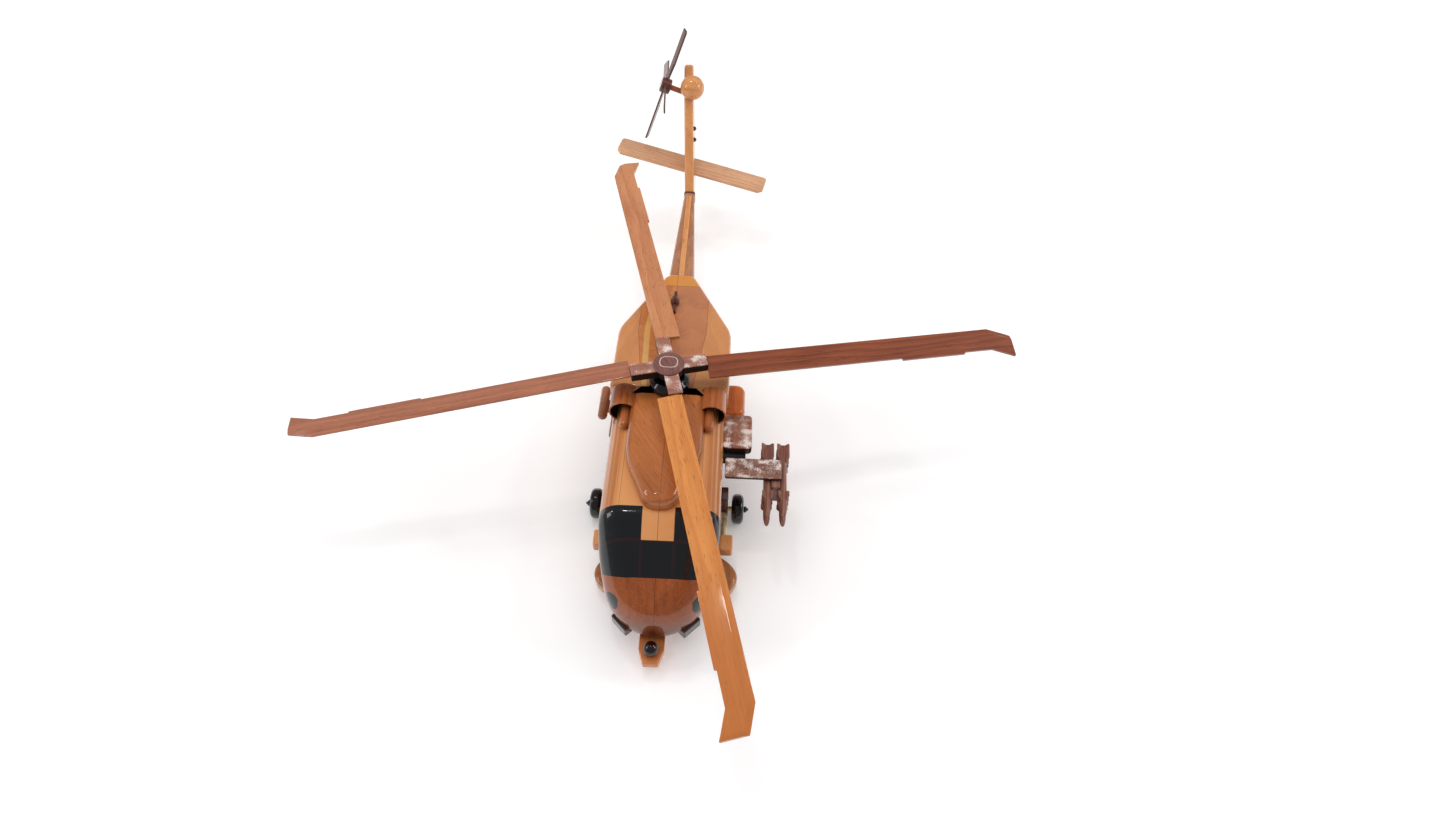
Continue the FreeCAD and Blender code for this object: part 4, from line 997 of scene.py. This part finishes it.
@dataclass
class Engines:
    """Two bored engine cowlings, each with a small barrel beside its inlet."""

    radius: float = 6.8
    bore: float = 6.0
    depth: float = 8.0
    lip: float = 0.3
    height: float = 60.3
    barrel: float = 2.4

    def build(self) -> None:
        """Turn both cowlings and their barrels; the bore's floor and wall are painted navy."""
        for side in ("port", "starboard"):
            low, high = span(f"engine_cowling_{side}")
            x = (1 if side == "port" else -1) * (max(abs(low[0]), abs(high[0])) - self.radius)
            length = high[1] - low[1]
            wall = eased([(self.bore, self.depth), (self.bore, 0.0), (self.radius, 0.0), (self.radius, length)],
                         self.lip, 6, False)
            profile = np.vstack(([(0.0, self.depth)], wall, [(0.0, length)]))
            where = Place((x, low[1], self.height), roll=-90)
            stand(f"engine_cowling_{side}_turning", lathe(profile).placed(where), MAHOGANY,
                  f"engine_cowling_{side}")
            cup = eased([(0.0, self.depth - 0.15), (self.bore - 0.08, self.depth - 0.15),
                         (self.bore - 0.08, self.lip * 1.2), (self.bore, self.lip * 1.2),
                         (self.bore, self.depth), (0.0, self.depth)], 0, 1, True)
            stand(f"inlet_{side}_paint", lathe(cup).placed(where), NAVY, rides=f"engine_cowling_{side}")
        low, high = span("inlet_barrels")
        barrels = [capsule(self.barrel, high[1] - low[1]).placed(
            Place((way * (high[0] - self.barrel), low[1], self.height), roll=-90)) for way in (1, -1)]
        stand("inlet_barrel_turnings", barrels[0] + barrels[1], MAHOGANY, "inlet_barrels")


# ---------------------------------------------------------------- main rotor
@dataclass
class MainRotor:
    """Hub, cap, swashplate and four one-piece blades with swept tips."""

    azimuth: float = 14.24
    height: float = 77.5
    reach: float = 17.8
    radius: float = 170.4
    droop: float = 3.77
    lead: float = 2.8
    chord: float = 11.3
    thickness: float = 1.8
    bevel: tuple[float, float] = (2.7, 1.1)
    ease: float = 0.18
    tip: float = 11.1
    sweep: float = 4.6
    tab: tuple[float, float, float] = (112.5, 144.8, 1.0)
    arm_half: float = 3.3
    boss: float = 6.4
    pitches: dict = field(default_factory=lambda: {"port": 19.3, "aft": 1.9, "starboard": 12.8, "front": 7.6})

    def blade(self) -> Surface:
        """One blade along X: its section is carried out along the span, sheared back over the tip.

        A section at x is the same rounded outline with its trailing edge let out over the tab, moved by
        -sweep (x - kink) / tip beyond the kink.
        """
        length = (self.radius - self.reach) / np.cos(np.radians(self.droop))
        kink = length - self.tip
        start, stop, proud = self.tab[0] - self.reach, self.tab[1] - self.reach, self.tab[2]
        x = np.concatenate((np.linspace(0, start - 0.2, 24), (start, start + 0.2),
                            np.linspace(start + 0.4, stop - 0.4, 10), (stop - 0.2, stop, stop + 0.2),
                            np.linspace(stop + 0.4, kink, 4), np.linspace(kink, length, 6)[1:]))
        trail = self.lead - self.chord
        let_out = proud * np.clip(np.minimum((x - start) / 0.2, (stop - x) / 0.2), 0, 1)
        back = self.sweep * np.clip((x - kink) / self.tip, 0, None)
        half, lead = self.thickness / 2, self.lead
        section = eased([(trail, -half), (lead, -half), (lead, half - self.bevel[1]),
                         (lead - self.bevel[0], half), (trail, half)], self.ease, 3)
        behind = np.clip((lead - section[:, 0]) / self.chord, 0, 1)
        y = section[:, 0] - let_out[:, None] * (behind > 0.9) - back[:, None]
        rings = np.stack((x[:, None] + 0 * y, y, section[:, 1] + 0 * y), axis=-1)
        first, last = rings[:1].copy(), rings[-1:].copy()
        for ring, way in ((first, -1), (last, 1)):
            middle = ring.mean(axis=1, keepdims=True)
            ring[..., 1:] = middle[..., 1:] + (ring[..., 1:] - middle[..., 1:]) * (0.97, 0.86)
        rings[0, :, 0] += 0.2
        rings[-1, :, 0] -= 0.2
        return skin(np.concatenate((first, rings, last)))

    def hub(self) -> Surface:
        """The cross-shaped hub: four arms out of a round boss, one outline."""
        low, high = span("rotor_hub")
        root = np.sqrt(self.boss ** 2 - self.arm_half ** 2)
        side = np.arcsin(self.arm_half / self.boss)
        spread = np.linspace(side, np.pi / 2 - side, 7)
        arm = np.vstack((eased([(root, -self.arm_half), (self.reach, -self.arm_half),
                                (self.reach, self.arm_half), (root, self.arm_half)], 0.5, 4, False),
                         self.boss * np.column_stack((np.cos(spread), np.sin(spread)))[1:-1]))
        quarter = [arm @ np.array(((np.cos(a), np.sin(a)), (-np.sin(a), np.cos(a))))
                   for a in np.arange(4) * np.pi / 2]
        return board(np.vstack(quarter), low[2], high[2], 0.32, 0.32, steps=3)

    def build(self) -> None:
        """Make the hub, its cap, the blades and the swashplate."""
        stand("rotor_hub_carving", self.hub().placed(Place(yaw=self.azimuth)), HUB, "rotor_hub")
        low, high = span("hub_cap")
        tall, wide = high[2] - low[2], high[0]
        cap = eased([(0, 0), (wide - 0.3, 0), (wide, 0.6), (wide * 0.75, tall * 0.8), (wide / 2, tall),
                     (0, tall)], [0, 0.2, 0.5, 1.0, 0.3, 0], 5, False)
        stand("hub_cap_turning", lathe(cap).placed(Place((0, 0, low[2]))), CAP, "hub_cap")
        for quarter, (side, pitch) in enumerate(self.pitches.items()):
            azimuth = self.azimuth + 90 * quarter
            root = self.reach * np.cos(np.radians(azimuth)), self.reach * np.sin(np.radians(azimuth))
            blade = self.blade().placed(Place((*root, self.height), azimuth, self.droop, pitch))
            blade.grain = blade.grain + np.array((0.0, 0.0, 4.0)) * quarter
            stand(f"main_blade_{side}_carving", blade, BLADE_WOODS_AS_LIT[side], f"main_blade_{side}")
        low, high = span("swashplate")
        wide = high[0]
        plate = eased([(0, low[2]), (wide - 1.1, low[2]), (wide, low[2] + 2.2), (wide, high[2] - 2.2),
                       (wide - 2.2, high[2]), (0, high[2])], [0, 0.6, 1.2, 1.2, 1.0, 0], 5, False)
        stand("swashplate_turning", lathe(plate), BLACK, "swashplate")
        dress_node("mast", BLACK)


# ---------------------------------------------------------------- tail
@dataclass
class Tail:
    """Boom, spine, band, fin, gearbox bulb, lights and the one-piece stabilator."""

    boom: tuple = ((84.0, 7.5, 33.0, 50.0, 3.2), (172.0, 3.0, 37.0, 44.6, 1.4))
    band: float = 1.8
    proud: float = 0.35
    thickness: float = 5.4
    foot: float = 19.5
    crown: tuple = ((209.0, 88.5), (222.0, 100.5), (228.0, 95.0))
    bulb: tuple = (-0.5, 211.6, 91.0)
    rim: float = 1.5
    lean: float = 2.9
    grain_sweep: float = 56.0
    light: float = 1.3

    def build(self) -> None:
        """Make the tail's pieces in order from the boom's root to the fin's tip."""
        root, end = np.array(self.boom)
        stand("tail_boom_carving", loft(np.linspace(root, end, 40)), BOOM, "tail_boom")
        low, high = span("boom_spine")
        wide = high[0]
        slope = (root[3] - end[3]) / (end[0] - root[0])
        spine = brick(np.array((-wide, low[1], -0.6)), np.array((wide, high[1], 1.3)), 0.45).cut_along(1)
        top = root[3] - slope * (spine.points[:, 1] - root[0])
        spine.points[:, 2] += top
        stand("boom_spine_strip", spine, PALE, "boom_spine")
        y = end[0] + np.array((0.0, 0.35, self.band - 0.35, self.band))
        grow = self.proud * np.array((0.3, 1.0, 1.0, 0.3))
        band = np.column_stack((y, end[1] + grow, end[2] - grow, end[3] + grow, end[4] + 0 * y))
        stand("boom_band_ring", loft(band), DARK, "boom_band")
        self.fin(end)
        self.stabilator()

    def fin(self, end: Points) -> None:
        """The swept fin with its bulb and lights."""
        start = end[0] + self.band
        side = [(start, end[2]), (start + self.foot, end[2]), *reversed(self.crown), (start, end[3])]
        plan = eased(side, [0.4, 1.8, 2.6, 2.6, 2.6, 0.4], 7)
        half = self.thickness / 2
        fin = board(plan, -half, half, self.rim, steps=6)
        sweep = np.radians(self.grain_sweep)
        turned = np.array(((np.cos(sweep), -np.sin(sweep), 0), (np.sin(sweep), np.cos(sweep), 0), (0, 0, 1)))
        fin.grain = fin.grain @ turned
        fin.points = fin.points[:, [2, 0, 1]]
        lean = np.radians(self.lean)
        stand("tail_fin_carving", fin.placed(Place((end[2] * np.sin(lean), 0, 0), pitch=-self.lean)), PALE,
              "tail_fin")
        bulb = ball(core("gearbox_bulb")[1][2]).placed(Place(self.bulb))
        stand("gearbox_bulb_turning", bulb.cut_along(1), PALE, "gearbox_bulb")
        low, high = span("fin_lights")
        pair = [ball(self.light).placed(Place((half + 0.3 - (z - end[2]) * np.tan(lean), y, z)))
                for y, z in (low[1:] + self.light, high[1:] - self.light)]
        stand("fin_light_beads", pair[0] + pair[1], DARK, "fin_lights")

    def stabilator(self) -> None:
        """A thin plank with a bevelled leading edge and clipped corners, set a little askew."""
        span_half, chord_half, corner, half = 46.5, 7.0, 2.6, 1.1
        corners = [(-span_half, -chord_half + corner), (-span_half + corner, -chord_half),
                   (span_half - corner, -chord_half), (span_half, -chord_half + corner),
                   (span_half, chord_half - corner / 2), (span_half - corner / 2, chord_half),
                   (-span_half + corner / 2, chord_half), (-span_half, chord_half - corner / 2)]

        def bevel(x: Points, y: Points) -> Points:
            """How far the top falls towards the leading edge."""
            return -np.clip(1.2 - (y + chord_half), 0, 1.2)

        plank = board(eased(corners, 0.9, 4), -half, half, 0.25, 0.25, bevel, 3)
        stand("stabilator_plank", plank.placed(Place((0, 196.4, 46.9), -11.7, 7.7)), STABILATOR, "stabilator")


@dataclass
class TailRotor:
    """The canted tail rotor: pin, drum hub and four thin blades."""

    hub_at: tuple[float, float, float] = (-16.6, 214.6, 90.0)
    cant: float = 20.0
    phase: float = 9.0
    radius: float = 35.0
    chord: float = 4.6
    thickness: float = 1.0
    pitch: float = 20.0
    cuff: float = 14.0
    drum: tuple[float, float] = (4.4, 6.0)
    pin: float = 1.6
    reach: float = 14.8

    def build(self) -> None:
        """Make the pin, the hub and the blades on the canted axis."""
        axis = Place(self.hub_at, pitch=self.cant - 90)
        radius, length = self.drum
        drum = eased([(0, -length / 2), (radius, -length / 2), (radius, length / 2), (0, length / 2)],
                     [0, 0.6, 0.9, 0], 5, False)
        stand("tail_rotor_hub_turning", lathe(drum, 40).placed(axis), DARK, "tail_rotor_hub")
        pin = lathe([(0, -self.reach), (self.pin, -self.reach), (self.pin, 0), (0, 0)], 32)
        stand("tail_rotor_pin", pin.placed(axis), MAHOGANY, "tail_rotor_shaft")
        half = self.chord / 2
        for number in range(4):
            plan = eased([(radius - 0.5, -half / 2), (self.cuff, -half / 2), (self.cuff, -half),
                          (self.radius - 1, -half), (self.radius, -half + 1),
                          (self.radius, half), (radius - 0.5, half)], 0.4, 4)
            blade = board(plan, -self.thickness / 2, self.thickness / 2, 0.3, steps=3)
            where = Place(yaw=self.phase + 90 * number, base=axis)
            stand(f"tail_blade_{number + 1}_carving",
                  blade.placed(Place(roll=self.pitch, base=where)), DARK, f"tail_blade_{number + 1}")


# ---------------------------------------------------------------- landing gear
@dataclass
class LandingGear:
    """Two main wheels on strut plates with drag beams, and a twin tail wheel."""

    axle: float = 1.35
    cap: float = 2.3

    def wheel(self, node: str, round_off: float, dish: float, hub: float, bore: float) -> Surface:
        """A turned wheel about X with a rounded tread and dished faces."""
        middle, half = core(node)
        return self.disc(half[2], half[0], round_off, dish, hub, bore).placed(Place(tuple(middle), pitch=90))

    def disc(self, radius: float, half: float, round_off: float, dish: float, hub: float,
             bore: float) -> Surface:
        """The wheel's profile, closed round its bore: a tyre bulge, a groove inside it, then the hub."""
        rim = radius * 0.66
        side = [(bore, half - dish), (hub, half - dish), (hub + 0.4, half - dish * 2.2),
                (rim - 0.4, half - dish * 2.2), (rim, half - dish * 0.2), (rim + 0.5, half)]
        right = side + [(radius, half)]
        left = [(r, -h) for r, h in reversed(side)]
        profile = eased(right + [(radius, -half)] + left,
                        [0, 0.2, 0.2, 0.3, 0.3, 0.4, round_off, round_off, 0.4, 0.3, 0.3, 0.2, 0.2, 0], 7)
        return lathe(profile, 72, bored=True)

    def build(self) -> None:
        """Make the wheels, plates, blocks, caps and the tail gear."""
        for side in ("port", "starboard"):
            stand(f"wheel_{side}_turning", self.wheel(f"wheel_{side}", 2.3, 0.45, 3.0, self.axle), BLACK,
                  f"wheel_{side}")
            low, high = span(f"gear_strut_{side}")
            (y0, y1), (z0, z1), mid = (low[1], high[1]), (low[2], high[2]), (low[1] + high[1]) / 2
            shoulder = z1 - (y1 - y0)
            plan = eased([(y0, z0), (y1, z0), (y1, shoulder), (mid, z1), (y0, shoulder)], [1.2, 1.2, 2, 2, 2], 5)
            plate = board(plan, low[0], high[0], 0.6)
            plate.grain = plate.grain[:, [1, 0, 2]]
            plate.points = plate.points[:, [2, 0, 1]]
            stand(f"gear_strut_{side}_plate", plate, DARK, f"gear_strut_{side}")
            dress_node(f"axle_{side}", BRASS)
        low, high = span("axle_caps")
        tall = 2.2
        cone = eased([(0, 0), (self.cap, 0), (self.cap / 8, tall), (0, tall)], [0, 0.5, 0.2, 0], 5, False)
        middle = (low + high) / 2
        caps = [lathe(cone, 32).placed(Place((way * (high[0] - tall), middle[1], middle[2]), pitch=90 * way))
                for way in (1, -1)]
        stand("axle_cap_turnings", caps[0] + caps[1], BLACK, "axle_caps")
        dress_node("drag_beams", BRASS)
        self.blocks()
        self.tail_wheels()

    def blocks(self) -> None:
        """The blocks on the fuselage's flanks above the radome."""
        low, high = span("gear_blocks")
        inner = Fuselage.cabin[0] - 0.3
        pair = [brick(np.array((min(a, b), low[1], low[2])), np.array((max(a, b), high[1], high[2])), 0.9)
                for a, b in ((inner, high[0]), (low[0], -inner))]
        stand("gear_block_carvings", (pair[0] + pair[1]).cut_along(1), PALE, "gear_blocks")

    def tail_wheels(self) -> None:
        """The twin tail wheels on their axle, and the strut that holds it."""
        low, high = span("tail_wheels")
        radius, width = (high[2] - low[2]) / 2, 2.3
        pair = [self.disc(radius, width / 2, 0.75, 0.2, 1.5, 0.8).placed(
            Place((way * (high[0] - width / 2), (low[1] + high[1]) / 2, radius), pitch=90)) for way in (1, -1)]
        stand("tail_wheel_turnings", pair[0] + pair[1], BLACK, "tail_wheels")
        dress_node("tail_strut", BLACK)
        dress_node("tail_axle", BRASS)


# ---------------------------------------------------------------- nose
@dataclass
class NoseFittings:
    """Radome, sensor bracket with its ball, and a block on each nose corner."""

    radome_rim: float = 1.8
    block: tuple = (10.0, 8.0, 16.4, -100.2, 46.0)

    def build(self) -> None:
        """Make the fittings in turn."""
        low, high = span("radome")
        middle, wide, deep = (low + high) / 2, (high[0] - low[0]) / 2, (high[1] - low[1]) / 2
        pan = eased([(0, low[2]), (wide, low[2]), (wide, high[2]), (0, high[2])],
                    [0, self.radome_rim + 0.8, self.radome_rim, 0], 8, False)
        squash = (1.0, deep / wide)
        stand("radome_turning", lathe(pan, 120, squash).placed(Place((middle[0], middle[1], 0)))
              .cut_along(0), RADOME, "radome")
        low, high = span("nose_bracket")
        x, half, tip = (low[0] + high[0]) / 2, (high[0] - low[0]) / 2, 3.4
        plan = eased([(x - half, high[1]), (x - half, -108.0), (x - tip, low[1]), (x + tip, low[1]),
                      (x + half, -108.0), (x + half, high[1])], [0.8, 3, 0.9, 0.9, 3, 0.8], 6)
        stand("nose_bracket_carving", board(plan, low[2], high[2], 0.5).cut_along(1), GOLDEN, "nose_bracket")
        stand("nose_turret_turning", ball_in("nose_turret"), TURRET, "nose_turret")
        low, high = span("nose_corner_blocks")
        length, width, x, y, yaw = self.block
        blocks = []
        for way in (1, -1):
            piece = brick(np.array((-length / 2, 0, low[2])), np.array((length / 2, width, high[2])), 0.5)
            piece = piece.placed(Place((x, y, 0), yaw))
            piece.points = piece.points * (way, 1, 1)
            blocks.append(piece)
        stand("nose_corner_block_carvings", blocks[0] + blocks[1], GREY, "nose_corner_blocks")


# ---------------------------------------------------------------- stores and side equipment
@dataclass
class Stores:
    """The port pylon, its launcher rack and four missiles."""

    radius: float = 1.6
    length: float = 40.4
    nose: float = 6.5
    fins: tuple = ((29.4, 11.0, 3.9, 3.0), (8.0, 5.6, 3.4, 2.8))
    fin_thickness: float = 0.9

    def missile(self) -> Surface:
        """A missile along Y from its nose: a turned body, and two sets of four raked fins."""
        share = np.linspace(0, 1, 13)
        body = np.vstack(([(0.0, 0.0)],
                          np.column_stack((self.radius * np.sqrt(1 - (1 - share) ** 2.2), self.nose * share)),
                          [(self.radius, self.length - 0.3), (self.radius - 0.3, self.length), (0, self.length)]))
        whole = lathe(body, 36).placed(Place(roll=-90))
        for start, chord, reach, rake in self.fins:
            plan = eased([(self.radius * 0.6, start), (reach, start + rake), (reach, start + chord),
                          (self.radius * 0.6, start + chord)], 0.5, 3)
            half = self.fin_thickness / 2
            fin = board(plan, -half, half, 0.25, steps=3)
            for turn in (45, 135, 225, 315):
                whole = whole + fin.placed(Place(pitch=turn)).cut_along(1)
        return whole

    def build(self) -> None:
        """Hang the missiles on both sides of the rack, under the pylon."""
        low, high = span("weapons_pylon")
        stand("weapons_pylon_plank", brick(low, high, 0.7), PYLON, "weapons_pylon")
        low, high = span("launcher_rack")
        stand("launcher_rack_plank", brick(low, high, 0.5).cut_along(1), ROSEWOOD, "launcher_rack")
        for column in ("inboard", "outboard"):
            for tier in ("upper", "lower"):
                node = f"missile_{column}_{tier}"
                middle, _ = core(node)
                where = Place((middle[0], span(node)[0][1], middle[2]))
                stand(f"{node}_turning", self.missile().placed(where), ROSEWOOD, node)


@dataclass
class SideEquipment:
    """Port: a box on its foot and a rounded cowling.  Starboard: hoist, pod and door rail."""

    sink: float = 0.4

    def build(self) -> None:
        """Make both flanks' pieces."""
        inner = Fuselage.cabin[0] - self.sink
        low, high = span("equipment_box")
        stand("equipment_box_carving", brick(np.array((inner, *low[1:])), high, 0.8, 2.0).cut_along(1), BOX,
              "equipment_box")
        low, high = span("box_foot")
        stand("box_foot_carving", brick(np.array((inner, *low[1:])), high, 0.5), BLACK, "box_foot")
        low, high = span("side_cowling")
        deep = inner - 4.0
        corners = [(deep, low[1]), (high[0], low[1]), (high[0], high[1]), (deep, high[1])]
        cowl = board(eased(corners, [0.5, 4.2, 4.4, 0.5], 9), low[2], high[2], 3.6, 3.6, steps=8)
        stand("side_cowling_carving", cowl.cut_along(1), ORANGE, "side_cowling")
        self.hoist()
        stand("side_pod_turning", bar("side_pod"), HOIST, "side_pod")
        stand("door_rail_rod", bar("door_rail"), DARK, "door_rail")

    def hoist(self) -> None:
        """The rescue hoist's drum on its short arm."""
        low, high = span("rescue_hoist")
        radius, arm_long, arm_high = 2.3, 6.0, 3.0
        x, z, middle = low[0] + radius, high[2] - radius, (low[1] + high[1]) / 2
        arm = brick(np.array((x, middle - arm_long / 2, low[2])),
                    np.array((-Fuselage.cabin[0] + self.sink, middle + arm_long / 2, low[2] + arm_high)), 0.4)
        drum = capsule(radius, high[1] - low[1]).placed(Place((x, low[1], z), roll=-90))
        stand("rescue_hoist_turning", drum + arm, HOIST, "rescue_hoist")


@dataclass
class DeckFittings:
    """Beacon, two stub antennas, a dowel plug and a ball along the rear deck."""

    @staticmethod
    def size(node: str) -> tuple[float, float]:
        """A node's radius across X and its height."""
        low, high = span(node)
        return (high[0] - low[0]) / 2, high[2] - low[2]

    def build(self) -> None:
        """Make the fittings from aft to fore."""
        radius, tall = self.size("beacon")
        profile = eased([(0, 0), (radius * 0.66, 0), (radius * 0.6, tall - radius * 2),
                         (radius, tall - radius * 1.7), (radius, tall - radius * 0.7), (radius * 0.5, tall),
                         (0, tall)], [0, 0.1, 0.3, 0.4, 0.9, 0.8, 0], 5, False)
        stand("beacon_turning", stood_in("beacon", profile, 40), DARK, "beacon")
        dress_node("deck_antennas", DARK)
        radius, tall = self.size("deck_plug")
        plug = eased([(0, 0), (radius, 0), (radius, tall), (0, tall)], [0, 0, 0.25, 0], 4, False)
        stand("deck_plug_turning", stood_in("deck_plug", plug, 32), PLUG, "deck_plug")
        stand("deck_ball_turning", ball_in("deck_ball"), DARK, "deck_ball")


# ---------------------------------------------------------------- studio
@dataclass
class Studio:
    """A plain pale floor, soft lights and the camera.  A lamp is its name, direction from the mast,
    distance and size in metres, power in watts, and whether gloss mirrors it."""

    ambient: float = 0.3
    floor_reach: float = 6.0
    floor_glow: float = 0.16
    sensor: float = 36.0
    lamps: tuple = (("overhead", (-0.137, 0.201, 0.97), 1.097, 0.06, 0.6, True),
                    ("left_key", (-0.72, 0.12, 0.68), 1.1, 0.1, 0.8, True),
                    ("right_key", (0.6, 0.3, 0.74), 1.1, 0.1, 0.8, True),
                    ("ceiling", (0.0, 0.1, 1.0), 1.5, 1.8, 14.0, False),
                    ("left_strip", (-0.92, -0.1, 0.5), 1.2, 0.4, 2.5, True),
                    ("right_strip", (0.92, 0.1, 0.45), 1.2, 0.4, 2.5, True))
    eye: tuple = (26.0575, -293.6217, 398.8606)
    right: tuple = (0.99913106, 0.03284993, 0.02565172)
    up: tuple = (-0.04164909, 0.76365441, 0.64428045)
    lens: float = 23.62

    def build(self) -> None:
        """Lay the floor, hang the lights and set the camera."""
        self.floor()
        scene = bpy.context.scene
        world = bpy.data.worlds.new("studio")
        world.use_nodes = True
        sky = world.node_tree.nodes["Background"].inputs
        sky["Color"].default_value, sky["Strength"].default_value = (1, 1, 1, 1), self.ambient
        scene.world = world
        scene.view_settings.view_transform = "Standard"
        for lamp in self.lamps:
            self.lamp(*lamp)
        self.camera()

    def floor(self) -> None:
        """A wide pale floor with a faint unevenness."""
        mesh = bpy.data.meshes.new("floor")
        corners = ((-1, -1), (1, -1), (1, 1), (-1, 1))
        mesh.from_pydata([(x * self.floor_reach, y * self.floor_reach, 0) for x, y in corners], [], [(0, 1, 2, 3)])
        plane = bpy.data.objects.new("floor", mesh)
        bpy.context.scene.collection.objects.link(plane)
        bench = Bench("pale_floor")
        cloud = bench.noise(bench.vector(*bench.spot()), (0.004, 0.004, 0.004), 3.0)
        colour = bench.mix(cloud, tint(252, 252, 252), tint(249, 249, 250))
        bench.feed(bench.shader.inputs["Emission Color"], (1, 1, 1, 1))
        bench.feed(bench.shader.inputs["Emission Strength"], self.floor_glow)
        mesh.materials.append(bench.finish(colour, 0.9, ior=1.2))

    def lamp(self, name: str, direction: tuple, distance: float, size: float, power: float,
             mirrored: bool) -> None:
        """A square soft light that faces the mast from a direction; gloss may leave its image out."""
        data = bpy.data.lights.new(name, "AREA")
        data.shape, data.size, data.energy = "SQUARE", size, power
        light = bpy.data.objects.new(name, data)
        target = Vector((0, MAST_Y * MM, 0.05))
        away = Vector(direction).normalized()
        light.location = target + away * distance
        light.rotation_euler = away.to_track_quat("Z", "Y").to_euler()
        light.visible_glossy = mirrored
        bpy.context.scene.collection.objects.link(light)

    def camera(self) -> None:
        """The camera, from its eye and its right and up directions."""
        data = bpy.data.cameras.new("camera")
        data.lens, data.sensor_width, data.clip_start, data.clip_end = self.lens, self.sensor, 0.01, 50.0
        camera = bpy.data.objects.new("camera", data)
        right, up = Vector(self.right), Vector(self.up)
        turn = Matrix((right, up, right.cross(up))).transposed().to_4x4()
        eye = Vector(self.eye) + Vector((0, MAST_Y, 0))
        camera.matrix_world = Matrix.Translation(eye * MM) @ turn
        bpy.context.scene.collection.objects.link(camera)
        bpy.context.scene.camera = camera


def main() -> None:
    """Build every sub-assembly in order, then the studio."""
    for assembly in (Fuselage(), RotorFairing(), RearDeck(), Engines(), MainRotor(), Tail(), TailRotor(),
                     LandingGear(), NoseFittings(), Stores(), SideEquipment(), DeckFittings(), Studio()):
        log.info("building %s", type(assembly).__name__)
        assembly.build()


if __name__ == "__main__":
    logging.basicConfig(level=logging.INFO, format="%(message)s")
    main()
